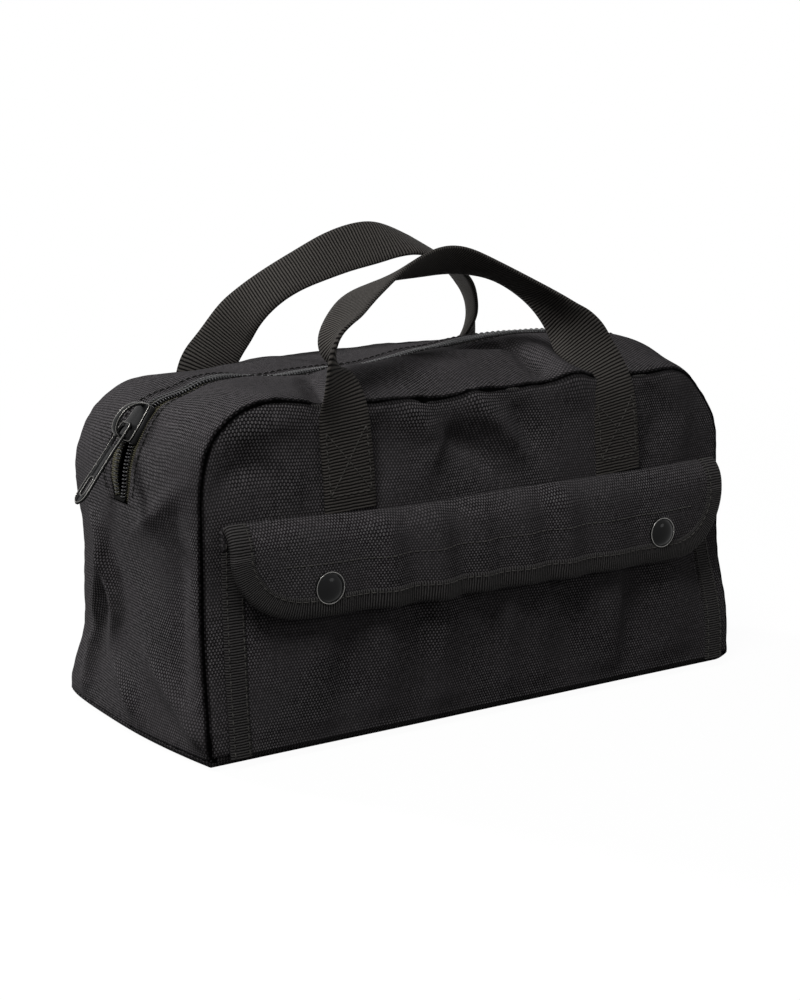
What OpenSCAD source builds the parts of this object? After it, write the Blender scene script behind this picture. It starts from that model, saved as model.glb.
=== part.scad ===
// Soft tool bag: a boxy canvas body with rounded shoulders, a zip that runs
// over the top and down both ends, two webbing handles, and a row of tool
// slots on the front under a snap-down flap.
// Origin: middle of the underside. +X runs to the right end, -Y is the front.

/* [Body] */
// Length of the bag, end to end along the seams
body_l = 280; // [240:5:360]
// Depth of the bag, front panel to back panel
body_d = 130; // [110:5:180]
// Height of the front panel
body_h = 147; // [135:1:190]
// Radius of the two shoulders seen from the front
shoulder_r = 38; // [30:1:40]
// How far the ends and the top swell outside their seams
crown = 5; // [3:0.5:8]
// Thickness of the lined canvas walls
cloth_t = 2; // [1.6:0.1:2.5]
// Radius of the long bottom edges
bottom_r = 8; // [5:0.5:12]

/* [Zip] */
// How far below the top of the front panel the zip stops on both ends
zip_drop = 43; // [41:1:49]
// Width of one row of coil
coil_w = 2.8; // [2.2:0.1:3]
// Height of the coil above the tape
coil_h = 2.2; // [1.6:0.1:2.4]
// Clear space between the two closed rows of coil
coil_gap = 0.4; // [0.2:0.1:0.6]
// Thickness of the woven zip tape
tape_t = 0.8; // [0.5:0.1:1]
// Width of tape covered by the canvas beside the zip
tape_lap = 8; // [5:0.5:12]
// Half of the gap between the two canvas edges beside the zip
zip_reveal = 7; // [6.9:0.1:9]
// How far each row stands aside where the zip is open
open_part = 2.6; // [2.3:0.1:3]

/* [Zip slider] */
// Place of the slider on the left shoulder, measured from the right end
slider_deg = 142; // [138:1:146]
// Length of the slider
slider_l = 18; // [16:0.5:20]
// Width of the slider over its shoulders
slider_wide = 13; // [12.6:0.1:13.2]
// Width of the slider at its narrow end
slider_narrow = 10; // [9:0.1:11]
// Thickness of the slider's top plate
slider_plate = 1.4; // [1:0.1:1.8]
// Radius of the arched bridge, outside
bridge_r = 9; // [8:0.1:9]
// Thickness of the bridge strip
bridge_t = 1.8; // [1.2:0.1:2]
// Width of the bridge strip
bridge_w = 4; // [3:0.1:4.5]
// Length of the pull tab
tab_l = 38; // [26:1:40]
// Width of the pull tab
tab_w = 8.4; // [7.8:0.1:10]
// Thickness of the pull tab
tab_t = 1.9; // [1.4:0.1:2]

/* [Handles] */
// Width of the webbing
web_w = 25; // [20:1:30]
// Thickness of the webbing
web_t = 2; // [1.5:0.1:2.5]
// Distance between the two legs of a handle, middle to middle
leg_span = 144; // [120:2:170]
// Rise of the handles above the top of the front panel
handle_rise = 60; // [50:1:80]
// How far the handles lean in over the top
handle_lean = 24; // [15:1:26]

/* [Tool pocket] */
// Width of the tool pocket over its side bindings
pocket_w = 266; // [236:2:270]
// Height of the pocket mouth above the floor
pocket_top = 88; // [70:1:90]
// Height of the pocket's lower fold above the floor
pocket_low = 8.5; // [8.5:0.5:14]
// Width of each of the inner tool slots
slot_w = 38; // [30:1:40]
// Clear depth of each slot
slot_d = 4.4; // [4.2:0.1:8]
// Thickness of the single canvas of the pocket
pocket_t = 1.2; // [0.8:0.1:1.4]
// Width of the bindings
binding_w = 10; // [8:0.5:12]
// Thickness of one layer of binding
binding_t = 0.6; // [0.4:0.1:0.8]

/* [Flap] */
// Width of the flap
flap_w = 262; // [236:2:266]
// Height of the flap's lower edge
flap_low = 57.5; // [50:0.5:62]
// Height of the fold that the flap hangs from
flap_fold_z = 99.6; // [96:0.1:99.6]
// Radius of the flap's two lower corners
flap_r = 32; // [20:1:36]
// Thickness of the doubled canvas of the flap
flap_t = 2.2; // [1.6:0.1:2.4]

/* [Snaps] */
// Distance of each snap from the middle of the bag
snap_x = 89; // [84:1:100]
// Height of the snaps
snap_z = 73.4; // [70:0.1:76]
// Diameter of the enamelled cap
cap_d = 14.5; // [12:0.1:15]
// Height of the cap's dome
cap_h = 3; // [2:0.1:4]
// Diameter of the socket under the flap
socket_d = 12; // [11:0.1:13]
// Thickness of the socket
socket_t = 2.4; // [2.2:0.1:3]
// Diameter of the stud's knob
knob_d = 5.8; // [5:0.1:6]
// Thickness of the stud's flange
flange_t = 0.8; // [0.6:0.1:1]

/* [Hidden] */

// Smoothness of the curves
fine = 96;
// Overrun of every cutting shape past the solid it cuts
over = 1;
// Small room left between pieces that touch or run close
seat = 0.1;
run = 0.35;

// Body: halves, and the middle of the shoulder arcs
half_l = body_l / 2;
half_d = body_d / 2;
in_d = half_d - cloth_t;
arc_x = half_l - shoulder_r;
arc_z = body_h - shoulder_r;
// Radius of the shallow swell across the depth
swell_r = (half_d * half_d + crown * crown) / (2 * crown);
// Reach of the cutting blocks in every direction
reach = body_l + body_d + body_h;

// Seam binding inside the bag
seam_w = 8;
seam_t = 1.4;

// Zip: tape and coil measured across the depth
coil_in = coil_gap / 2;
coil_out = coil_in + coil_w;
tape_in = 1.8;
tape_out = zip_reveal + tape_lap;
// Open stretch: its start and full width, measured up and down from the
// slider, and the rise from the zip's end to where it narrows again
part_lead = 2.26;
part_trail = 9.7;
part_rise = 8;
part_end = 0.4;
tack_w = 9;
tack_h = 1.8;
tack_t = 1.2;
zip_end_z = body_h - zip_drop;
coil_start = zip_end_z + tack_h + run;
part_low = zip_end_z + part_rise;

// Slider levels, counted from the outside of the tape
tape_r = shoulder_r + crown - cloth_t;
slider_z = arc_z + tape_r * sin(slider_deg);
part_top = slider_z + part_lead;
part_full = slider_z - part_trail;
slider_sag = tape_r - sqrt(tape_r * tape_r - slider_l * slider_l / 4);
under_top = -seat - tape_t - slider_sag - run;
under_t = 1.2;
plate_low = coil_h + run;
plate_top = plate_low + slider_plate;
lip_t = 1.3;
bridge_lift = 1.6;
wedge_len = 5;
wedge_half = 1.4;
wedge_tip = 0.4;

// Pull tab: head bar inside the bridge, slot round the strip
tab_room = 0.5;
tab_bar = 3.1;
tab_slot_w = bridge_w + 2 * tab_room;
tab_slot_in = bridge_r - bridge_t - tab_room;
tab_slot_out = bridge_r + tab_room;
tab_in = tab_slot_in - tab_bar;
grip_slot_w = 3.4;
grip_slot_l = 12;
grip_slot_end = 4.5;

// Handles: fold line just over the sewn legs and in front of them, so that
// the loop can lie down outward, and the free loop
fold_gap = 1.3;
fold_out = 0.7;
fold_swell = 0.2;
fold_z = body_h + fold_gap;
fold_y = half_d + web_t + fold_out;
anchor_low = 101.6;
loop_rings = 64;

// How each loop has slumped, from the left leg over to the right one. A row
// has its place along the bag as a share of half the leg span, its height
// and its depth in as shares of the rise, and how far the webbing's width
// has turned from along the bag and how far it dips, in degrees
front_loop_shares = [
    [-1.00, 0.00, 0.00, 0, 0],
    [-1.00, 0.07, 0.00, 4, 0],
    [-1.03, 0.17, -0.02, 22, 0],
    [-1.05, 0.28, -0.03, 48, 0],
    [-1.04, 0.42, -0.02, 70, 6],
    [-0.93, 0.57, 0.00, 78, 14],
    [-0.67, 0.79, 0.06, 71, 14],
    [-0.33, 0.94, 0.12, 55, 4],
    [0.00, 0.99, 0.18, 56, -6],
    [0.27, 0.94, 0.22, 56, -2],
    [0.53, 0.80, 0.21, 66, 2],
    [0.70, 0.62, 0.12, 90, 0],
    [0.81, 0.44, 0.03, 124, 0],
    [0.91, 0.26, 0.00, 150, 0],
    [1.00, 0.08, 0.00, 174, 0],
    [1.00, 0.00, 0.00, 180, 0]
];
back_loop_shares = [
    [-1.00, 0.00, 0.00, 0, 0],
    [-1.00, 0.08, 0.00, 3, 0],
    [-0.98, 0.19, 0.00, 18, 0],
    [-0.88, 0.34, 0.00, 45, 2],
    [-0.74, 0.50, 0.04, 72, 8],
    [-0.60, 0.66, 0.09, 84, 7],
    [-0.47, 0.78, 0.11, 82, 4],
    [-0.33, 0.88, 0.13, 79, -2],
    [-0.15, 0.98, 0.17, 70, -10],
    [0.05, 1.06, 0.20, 72, -10],
    [0.25, 1.07, 0.22, 90, 0],
    [0.53, 0.95, 0.21, 104, 14],
    [0.78, 0.74, 0.16, 107, 20],
    [0.93, 0.50, 0.05, 120, 14],
    [1.00, 0.32, 0.00, 146, 4],
    [1.01, 0.17, 0.00, 164, 0],
    [1.00, 0.06, 0.00, 178, 0],
    [1.00, 0.00, 0.00, 180, 0]
];

// Heights, as shares of the rise, up to which the sections lie level, and
// from which they are square to the loop
level_share = 0.1;
square_share = 0.5;

// Pocket: how the slots lie on the front panel
slot_slope = 5;
stitch_half = 1.5;
slot_count = 6;
pocket_face = half_d + slot_d + pocket_t;
post_r = 1.6;
post_flange_r = 4.5;
post_flange_t = 0.6;
// Room round the knob, so that the socket can swing off it
knob_room = 0.8;

// Flap: distances in front of the middle of the bag
flap_in = pocket_face + flange_t + socket_t;
flap_mid = flap_in + flap_t / 2;
flap_stand = 0.6;
flap_drop = 7;
flap_axis_y = half_d + web_t + flap_stand;
flap_bend_z = flap_fold_z - flap_drop;
flap_edge = 0.8;
hem_t = 1.2;
hem_h = 7;
hem_gap = 0.5;

// A bar with two round ends from a to b in a flat drawing
module bar(a, b, t) {
    way = b - a;
    len = norm(way);
    translate(a)
        rotate(atan2(way[1], way[0]))
            translate([0, -t / 2])
                square([len, t]);
    translate(a) circle(d = t, $fn = fine);
    translate(b) circle(d = t, $fn = fine);
}

// Outline of the front panel above the bottom fold
module panel_outline() {
    translate([-half_l, bottom_r])
        square([body_l, arc_z - bottom_r]);
    translate([-arc_x, arc_z])
        square([2 * arc_x, shoulder_r]);
    for (side = [-1, 1])
        translate([side * arc_x, arc_z])
            circle(r = shoulder_r, $fn = fine);
}

// Plan of the bag with its swelling ends
module plan_outline() {
    intersection() {
        translate([-half_l - crown, -half_d])
            square([body_l + 2 * crown, body_d]);
        for_both_ends();
    }
}

module for_both_ends() {
    intersection() {
        translate([half_l + crown - swell_r, 0])
            circle(r = swell_r, $fn = 4 * fine);
        translate([swell_r - half_l - crown, 0])
            circle(r = swell_r, $fn = 4 * fine);
    }
}

// End view of the bag: flat floor, rounded long bottom edges
module end_outline(inset) {
    r = bottom_r - inset;
    w = half_d - inset;
    translate([-w, bottom_r])
        square([2 * w, body_h + crown]);
    translate([-w + r, inset])
        square([2 * (w - r), bottom_r + body_h / 2]);
    for (side = [-1, 1])
        translate([side * (w - r), bottom_r])
            circle(r = r, $fn = fine);
}

// Turns a flat drawing (across, up) into a block along the length
module along_length(from, to) {
    translate([from, 0, 0])
        rotate([90, 0, 90])
            linear_extrude(to - from)
                children();
}

// Turns a flat drawing (length, up) into a block from y = from to y = to
module along_depth(from, to) {
    translate([0, to, 0])
        rotate([90, 0, 0])
            linear_extrude(to - from)
                children();
}

// Runs a section round the bag: up the left end from left_z, over the top,
// and down the right end to right_z. The section is drawn with its first
// axis outward from the middle of the shoulder arc, its second along +Y.
module round_run(left_z, right_z) {
    translate([-arc_x, 0, arc_z])
        rotate([90, 0, 0]) {
            rotate([0, 0, 180])
                mirror([0, 1, 0])
                    straight(arc_z - left_z)
                        children();
            rotate([0, 0, 90])
                rotate_extrude(angle = 90, $fn = 2 * fine)
                    mirror([0, 1])
                        children();
            rotate([0, 0, 90])
                straight(2 * arc_x)
                    children();
        }
    translate([arc_x, 0, arc_z])
        rotate([90, 0, 0]) {
            rotate_extrude(angle = 90, $fn = 2 * fine)
                mirror([0, 1])
                    children();
            straight(arc_z - right_z)
                children();
        }
}

// Straight stretch of a section, back from where it is drawn
module straight(len) {
    rotate([90, 0, 0])
        linear_extrude(len)
            mirror([0, 1])
                children();
}

// Section of the swelling skin from depth a to depth b, at one level
module skin_section(top, t, a, b) {
    mid = shoulder_r + crown - swell_r;
    intersection() {
        translate([0, a])
            square([shoulder_r + 2 * crown, b - a]);
        difference() {
            translate([mid, 0])
                circle(r = swell_r + top, $fn = 8 * fine);
            translate([mid, 0])
                circle(r = swell_r + top - t, $fn = 8 * fine);
        }
    }
}

// Cutting block that keeps a zip piece between depths a and b, and lets its
// inner edge, and its outer edge if wide is set, stand aside where it is open
module zip_mask(a, b, wide) {
    aside = wide ? open_part : 0;
    low_aside = wide ? part_end : 0;
    top = body_h + crown + coil_h + over;
    along_length(-half_l - crown - reach, -arc_x / 2)
        polygon([
            [a, top], [a, part_top],
            [a + open_part, part_full], [a + open_part, part_low],
            [a + part_end, zip_end_z],
            [b + low_aside, zip_end_z],
            [b + aside, part_low], [b + aside, part_full],
            [b, part_top], [b, top]
        ]);
    along_length(-arc_x / 2, half_l + crown + reach)
        translate([a, zip_end_z])
            square([b - a, top - zip_end_z]);
}

// A piece on the front is the mirror image of the one on the back
module on_side(side) {
    if (side < 0)
        mirror([0, 1, 0]) children();
    else
        children();
}

// Front or back wall, a flat panel that stands on the bottom fold
module panel(side) {
    on_side(side)
        along_depth(in_d, half_d)
            panel_outline();
}

module front_panel() {
    color("#26262a") panel(-1);
}

module back_panel() {
    color("#26262a") panel(1);
}

// Floor with its two long edges turned up
module bottom_panel() {
    color("#202024")
        intersection() {
            linear_extrude(bottom_r)
                plan_outline();
            along_length(-reach, reach)
                difference() {
                    end_outline(0);
                    end_outline(cloth_t);
                }
        }
}

// End wall below the zip, swelling outward between its seams
module end_panel(side) {
    intersection() {
        mirror([side < 0 ? 1 : 0, 0, 0])
            translate([arc_x, 0, 0])
                linear_extrude(zip_end_z)
                    skin_section(0, cloth_t, -half_d, half_d);
        along_length(-reach, reach)
            end_outline(cloth_t);
    }
}

module left_end_panel() {
    color("#232327") end_panel(-1);
}

module right_end_panel() {
    color("#232327") end_panel(1);
}

// Canvas strip between the zip and the seam of the front or back panel
module zip_gusset(side) {
    on_side(side)
        intersection() {
            round_run(zip_end_z, zip_end_z)
                skin_section(0, cloth_t, 0, in_d);
            zip_mask(zip_reveal, in_d, false);
        }
}

module front_zip_gusset() {
    color("#28282c") zip_gusset(-1);
}

module back_zip_gusset() {
    color("#28282c") zip_gusset(1);
}

// Woven tape under the edge of the gusset
module zip_tape(side) {
    on_side(side)
        intersection() {
            round_run(zip_end_z, zip_end_z)
                skin_section(-cloth_t - seat, tape_t, 0, tape_out);
            zip_mask(tape_in, tape_out, false);
        }
}

module front_zip_tape() {
    color("#2c2b26") zip_tape(-1);
}

module back_zip_tape() {
    color("#2c2b26") zip_tape(1);
}

// One row of coil on the edge of its tape
module zip_coil(side) {
    on_side(side)
        intersection() {
            round_run(coil_start, coil_start)
                skin_section(coil_h - cloth_t, coil_h, 0, 2 * coil_out);
            zip_mask(coil_in, coil_out, true);
        }
}

module front_zip_coil() {
    color("#3c3c40") zip_coil(-1);
}

module back_zip_coil() {
    color("#3c3c40") zip_coil(1);
}

// Stitched bars that close both ends of the zip
module zip_end_tacks() {
    color("#1c1c1e")
        for (side = [-1, 1])
            translate([side * (half_l + crown - cloth_t + seat + tack_t / 2), 0,
                zip_end_z + tack_h / 2])
                cube([tack_t, tack_w, tack_h], center = true);
}

// Tape that binds the raw edges of a seam, inside the bag
module seam_binding(side) {
    on_side(side)
        round_run(bottom_r, bottom_r)
            translate([shoulder_r - cloth_t - seam_w, in_d - seam_t])
                square([seam_w, seam_t]);
}

module front_seam_binding() {
    color("#18181a") seam_binding(-1);
}

module back_seam_binding() {
    color("#18181a") seam_binding(1);
}

// Sewn end of a handle, flat on its panel
module anchor(side, across) {
    low = anchor_low;
    on_side(side)
        translate([across * leg_span / 2 - web_w / 2, half_d, low])
            cube([web_w, web_t, fold_z - web_t / 2 - run - low]);
}

module front_left_anchor() {
    color("#1a1a1c") anchor(-1, -1);
}

module front_right_anchor() {
    color("#1a1a1c") anchor(-1, 1);
}

module back_left_anchor() {
    color("#1a1a1c") anchor(1, -1);
}

module back_right_anchor() {
    color("#1a1a1c") anchor(1, 1);
}

// Row at place s on a smooth curve through the rows of a table
function row_at(rows, s) =
    let (last = len(rows) - 1)
    let (i = min(floor(s * last), last - 1))
    let (t = s * last - i)
    let (b = rows[i])
    let (c = rows[i + 1])
    let (a = i > 0 ? rows[i - 1] : 2 * b - c)
    let (d = i < last - 1 ? rows[i + 2] : 2 * c - b)
    let (turn = 2 * a - 5 * b + 4 * c - d)
    let (rest = 3 * b - a - 3 * c + d)
    (2 * b + (c - a) * t + turn * t * t + rest * t * t * t) / 2;

// Middle of the webbing in a row, as along the bag, out and up
function middle_of(row) = [
    row[0] * leg_span / 2,
    -row[2] * handle_rise,
    row[1] * handle_rise
];

function tangent_at(rows, s) =
    let (e = 1 / (8 * loop_rings))
    let (a = middle_of(row_at(rows, max(0, s - e))))
    let (b = middle_of(row_at(rows, min(1, s + e))))
    (b - a) / norm(b - a);

// How far a section has turned from level to square at a height share
function squareness(up) =
    let (u = (up - level_share) / (square_share - level_share))
    let (v = max(0, min(1, u)))
    v * v * (3 - 2 * v);

// Four corners of the webbing's section at place s
function web_section(rows, s) =
    let (row = row_at(rows, s))
    let (p = middle_of(row))
    let (t = tangent_at(rows, s))
    let (flat = cos(row[4]))
    let (lie = [cos(row[3]) * flat, -sin(row[3]) * flat, sin(row[4])])
    let (w = lie - squareness(row[1]) * (lie * t) * t)
    let (across = w * web_w / 2 / norm(w))
    let (f = cross(t, w))
    let (through = f * web_t / 2 / norm(f))
    [
        p - across - through,
        p + across - through,
        p + across + through,
        p - across + through
    ];

// Free loop of webbing along the rows of a table
module loop(rows) {
    pts = [
        for (i = [0:loop_rings])
            each web_section(rows, i / loop_rings)
    ];
    quads = [
        for (i = [0:loop_rings - 1])
            for (k = [0:3])
                let (m = (k + 1) % 4)
                [i * 4 + k, i * 4 + m, i * 4 + 4 + m, i * 4 + 4 + k]
    ];
    // Both faces of the webbing are split along the same diagonal
    skin = [
        for (k = [0:len(quads) - 1])
            let (q = quads[k])
            each k % 4 < 2
                ? [[q[2], q[1], q[0]], [q[3], q[2], q[0]]]
                : [[q[3], q[1], q[0]], [q[3], q[2], q[1]]]
    ];
    n = loop_rings * 4;
    ends = [[0, 1, 2], [0, 2, 3], [n + 2, n + 1, n], [n + 3, n + 2, n]];
    polyhedron(pts, concat(skin, ends), convexity = 4);
}

// Loop with the rounded folds at the feet of its two legs
module handle(side) {
    on_side(side)
        translate([0, fold_y, fold_z])
            rotate([handle_lean, 0, 0]) {
                loop(side < 0 ? front_loop_shares : back_loop_shares);
                for (across = [-1, 1])
                    translate([across * leg_span / 2 - web_w / 2, 0, 0])
                        rotate([0, 90, 0])
                            cylinder(r = web_t / 2 + fold_swell, h = web_w,
                                $fn = fine / 2);
            }
}

module front_handle() {
    color("#1a1a1c") handle(-1);
}

module back_handle() {
    color("#1a1a1c") handle(1);
}

// Outer line of the six slots, seen from above, with thickness left to add
module slots_plan(d) {
    inner = 2 * slot_w;
    edge = pocket_w / 2 - binding_w;
    lines = [-edge, -inner, -slot_w, 0, slot_w, inner, edge];
    for (i = [0:slot_count - 1])
        polygon([
            [lines[i], 0],
            [lines[i] + slot_slope, d],
            [lines[i + 1] - slot_slope, d],
            [lines[i + 1], 0]
        ]);
}

// Sewn lines and side margins that lie flat on the front panel
module slots_margins() {
    edge = pocket_w / 2 - binding_w;
    for (x = [-2 * slot_w, -slot_w, 0, slot_w, 2 * slot_w])
        translate([x - stitch_half, 0])
            square([2 * stitch_half, pocket_t]);
    for (side = [-1, 1])
        translate([side > 0 ? edge - stitch_half : -pocket_w / 2 + binding_t, 0])
            square([binding_w + stitch_half - binding_t, pocket_t]);
}

module pocket_wall() {
    difference() {
        union() {
            slots_plan(slot_d + pocket_t);
            slots_margins();
        }
        slots_hollow();
    }
}

// Clear space of the slots: the cloth keeps its thickness on the slopes too
module slots_hollow() {
    inner = 2 * slot_w;
    edge = pocket_w / 2 - binding_w;
    lines = [-edge, -inner, -slot_w, 0, slot_w, inner, edge];
    for (i = [0:slot_count - 1])
        polygon([
            [lines[i] + stitch_half, -over],
            [lines[i] + stitch_half, 0],
            [lines[i] + stitch_half + slot_slope, slot_d],
            [lines[i + 1] - stitch_half - slot_slope, slot_d],
            [lines[i + 1] - stitch_half, 0],
            [lines[i + 1] - stitch_half, -over]
        ]);
}

module pocket_solid() {
    translate([0, -half_d, pocket_low])
        mirror([0, 1, 0]) {
            linear_extrude(pocket_top - pocket_low - binding_t)
                pocket_wall();
            linear_extrude(pocket_t)
                slots_plan(slot_d + pocket_t);
        }
}

module at_snaps(y) {
    for (side = [-1, 1])
        translate([side * snap_x, -y, snap_z])
            rotate([90, 0, 0])
                children();
}

module tool_pocket() {
    color("#28282c")
        difference() {
            pocket_solid();
            at_snaps(half_d + slot_d - over)
                cylinder(r = post_r + seat, h = pocket_t + 2 * over, $fn = fine);
        }
}

// Binding folded over the mouth of the slots
module pocket_mouth_binding() {
    low = pocket_top - binding_w;
    color("#1c1c1e")
        translate([0, -half_d, low])
            mirror([0, 1, 0])
                difference() {
                    linear_extrude(binding_w)
                        intersection() {
                            translate([-pocket_w / 2 + binding_w + slot_slope,
                                slot_d])
                                square([pocket_w - 2 * binding_w - 2 * slot_slope,
                                    pocket_t + binding_t]);
                            slots_plan(slot_d + pocket_t + binding_t);
                        }
                    linear_extrude(binding_w - binding_t)
                        translate([-pocket_w, 0])
                            square([2 * pocket_w, slot_d + pocket_t]);
                    linear_extrude(3 * binding_w)
                        slots_hollow();
                    translate([0, -half_d, -low])
                        mirror([0, 1, 0])
                            at_snaps(half_d)
                                cylinder(d = socket_d + 2 * run, h = reach,
                                    $fn = fine);
                }
}

// Binding folded over one side edge of the pocket
module side_binding(side) {
    x = side > 0 ? pocket_w / 2 - binding_w : -pocket_w / 2;
    edge = side > 0 ? pocket_w / 2 - binding_t : -pocket_w / 2;
    strip = binding_w - stitch_half;
    translate([side > 0 ? x + stitch_half : x, -half_d - pocket_t - binding_t,
        pocket_low])
        cube([strip, binding_t, pocket_top - pocket_low]);
    translate([edge, -half_d - pocket_t - binding_t, pocket_low])
        cube([binding_t, pocket_t + binding_t, pocket_top - pocket_low]);
}

module pocket_left_binding() {
    color("#1c1c1e") side_binding(-1);
}

module pocket_right_binding() {
    color("#1c1c1e") side_binding(1);
}

// Stitched root of the flap, flat on the front panel behind its fold
module flap_hem() {
    top = flap_fold_z - flap_t / 2 - hem_gap;
    color("#222226")
        translate([-flap_w / 2, -half_d - hem_t, top - hem_h])
            cube([flap_w, hem_t, hem_h]);
}

// End view of the flap: it comes off its fold, clears the snaps and hangs
module flap_section(extra) {
    t = flap_t + 2 * extra;
    root = [-flap_axis_y, flap_fold_z];
    bend = [-flap_mid, flap_bend_z];
    foot = [-flap_mid, flap_low - extra];
    bar(root, bend, t);
    bar(bend, foot, t);
}

// Front view of the flap, with its two lower corners rounded
module flap_outline(inset) {
    w = flap_w / 2 - inset;
    r = flap_r - inset;
    low = flap_low + inset;
    top = flap_fold_z + flap_t;
    translate([-w, flap_low + flap_r])
        square([2 * w, top - flap_low - flap_r]);
    translate([-w + r, low])
        square([2 * (w - r), flap_r]);
    for (side = [-1, 1])
        translate([side * (w - r), flap_low + flap_r])
            circle(r = r, $fn = fine);
}

module flap_plate(extra, inset) {
    intersection() {
        along_length(-flap_w, flap_w)
            flap_section(extra);
        along_depth(-2 * body_d, 0)
            flap_outline(inset);
    }
}

module pocket_flap() {
    color("#29292d")
        difference() {
            flap_plate(0, flap_edge);
            at_snaps(flap_in - over)
                cylinder(r = post_r + seat, h = flap_t + 2 * over, $fn = fine);
        }
}

// Binding folded over the sides and the lower edge of the flap
module flap_binding() {
    top = flap_bend_z;
    color("#1b1b1d")
        difference() {
            intersection() {
                flap_plate(binding_t, 0);
                along_depth(-2 * body_d, 0)
                    difference() {
                        translate([-flap_w, 0])
                            square([2 * flap_w, top]);
                        flap_outline(binding_w);
                    }
            }
            flap_plate(0, flap_edge);
            at_snaps(half_d)
                cylinder(d = cap_d + 2 * seat, h = reach, $fn = fine);
        }
}

// Domed snap cap with a rolled rim and a post that goes through the flap
module snap_caps() {
    r = cap_d / 2;
    rim = 0.9;
    dome_r = (r * r + cap_h * cap_h) / (2 * cap_h);
    color("#111113")
        at_snaps(flap_in + flap_t) {
            rotate_extrude($fn = fine)
                intersection() {
                    square([r, cap_h]);
                    translate([0, cap_h - dome_r])
                        circle(r = dome_r, $fn = 2 * fine);
                }
            rotate_extrude($fn = fine)
                translate([r - rim / 2, rim / 2])
                    circle(d = rim, $fn = fine / 4);
            translate([0, 0, -flap_t])
                cylinder(r = post_r, h = flap_t + rim, $fn = fine);
        }
}

// Ring socket under the flap, its bore takes the stud's knob
module snap_sockets() {
    bore = knob_d + 2 * knob_room;
    lip = 0.7;
    color("#55555a")
        at_snaps(flap_in - socket_t)
            difference() {
                rotate_extrude($fn = fine)
                    union() {
                        square([socket_d / 2 - lip, socket_t]);
                        translate([0, lip])
                            square([socket_d / 2, socket_t - lip]);
                        translate([socket_d / 2 - lip, lip])
                            circle(r = lip, $fn = fine / 2);
                    }
                translate([0, 0, -over])
                    cylinder(d = bore, h = socket_t - flange_t + over, $fn = fine);
            }
}

// Stud on the pocket: a flange with a rounded knob
module snap_studs() {
    knob_h = socket_t - 2 * flange_t;
    crown_r = knob_d / 2;
    color("#55555a")
        at_snaps(pocket_face)
            difference() {
                union() {
                    cylinder(d = socket_d - flange_t, h = flange_t - seat, $fn = fine);
                    cylinder(d = knob_d - flange_t, h = flange_t + knob_h, $fn = fine);
                    translate([0, 0, flange_t + knob_h / 2])
                        rotate_extrude($fn = fine)
                            intersection() {
                                square([crown_r, knob_h / 2]);
                                translate([0, -crown_r + knob_h / 2])
                                    circle(r = crown_r, $fn = fine);
                            }
                }
                translate([0, 0, -over])
                    cylinder(r = post_r + seat, h = over + flange_t, $fn = fine);
            }
}

// Eyelet that holds each stud from inside its slot
module snap_posts() {
    color("#55555a")
        at_snaps(half_d + slot_d - post_flange_t) {
            cylinder(r = post_flange_r, h = post_flange_t, $fn = fine);
            cylinder(r = post_r, h = post_flange_t + pocket_t + flange_t / 2, $fn = fine);
        }
}

// Puts a piece on the zip at the slider: its X along the zip, Z outward
module at_slider() {
    translate([-arc_x, 0, arc_z])
        rotate([0, 90 - slider_deg, 0])
            translate([0, 0, tape_r])
                children();
}

// Plan of the slider, wide at its shoulders, with rounded corners
module slider_plan(inset) {
    r = 1.6;
    x0 = -slider_l / 2 + r;
    x1 = slider_l / 2 - r;
    y0 = slider_wide / 2 - r;
    y1 = slider_narrow / 2 - r;
    q = r - inset;
    polygon([[x0, -y0], [x1, -y1], [x1, y1], [x0, y0]]);
    bar([x0, -y0], [x1, -y1], 2 * q);
    bar([x1, -y1], [x1, y1], 2 * q);
    bar([x1, y1], [x0, y0], 2 * q);
    bar([x0, y0], [x0, -y0], 2 * q);
}

// Slider: top plate with side lips, underplate, and the wedge between them
module slider_body() {
    wedge_x = -slider_l / 2 + slider_plate / 2;
    wedge_h = plate_low + seat - under_top;
    color("#1e1e20")
        at_slider() {
            translate([0, 0, plate_low])
                linear_extrude(slider_plate)
                    slider_plan(0);
            translate([0, 0, run])
                linear_extrude(plate_low - run)
                    intersection() {
                        difference() {
                            slider_plan(0);
                            slider_channel();
                        }
                        square([slider_l, 2 * slider_wide], center = true);
                    }
            translate([0, 0, under_top - under_t])
                linear_extrude(under_t)
                    slider_plan(0);
            translate([0, 0, under_top - seat])
                linear_extrude(wedge_h + seat)
                    polygon([
                        [wedge_x, -wedge_half], [wedge_x + wedge_len, -wedge_tip],
                        [wedge_x + wedge_len, wedge_tip], [wedge_x, wedge_half]
                    ]);
        }
}

// Open channel between the slider's lips, flaring towards its shoulders
module slider_channel() {
    x = slider_l / 2;
    wide = slider_wide / 2 - lip_t;
    narrow = slider_narrow / 2 - lip_t;
    polygon([
        [-x - over, -wide], [x + over, -narrow],
        [x + over, narrow], [-x - over, wide]
    ]);
}

// Arched bridge that the pull tab hangs from
module slider_bridge() {
    low = plate_top;
    mid = low + bridge_lift;
    color("#1e1e20")
        at_slider()
            along_depth(-bridge_w / 2, bridge_w / 2) {
                translate([0, mid])
                    intersection() {
                        difference() {
                            circle(r = bridge_r, $fn = fine);
                            circle(r = bridge_r - bridge_t, $fn = fine);
                        }
                        translate([-2 * bridge_r, 0])
                            square([4 * bridge_r, 2 * bridge_r]);
                    }
                for (x = [-bridge_r, bridge_r - bridge_t])
                    translate([x, low])
                        square([bridge_t, bridge_lift]);
            }
}

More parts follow.
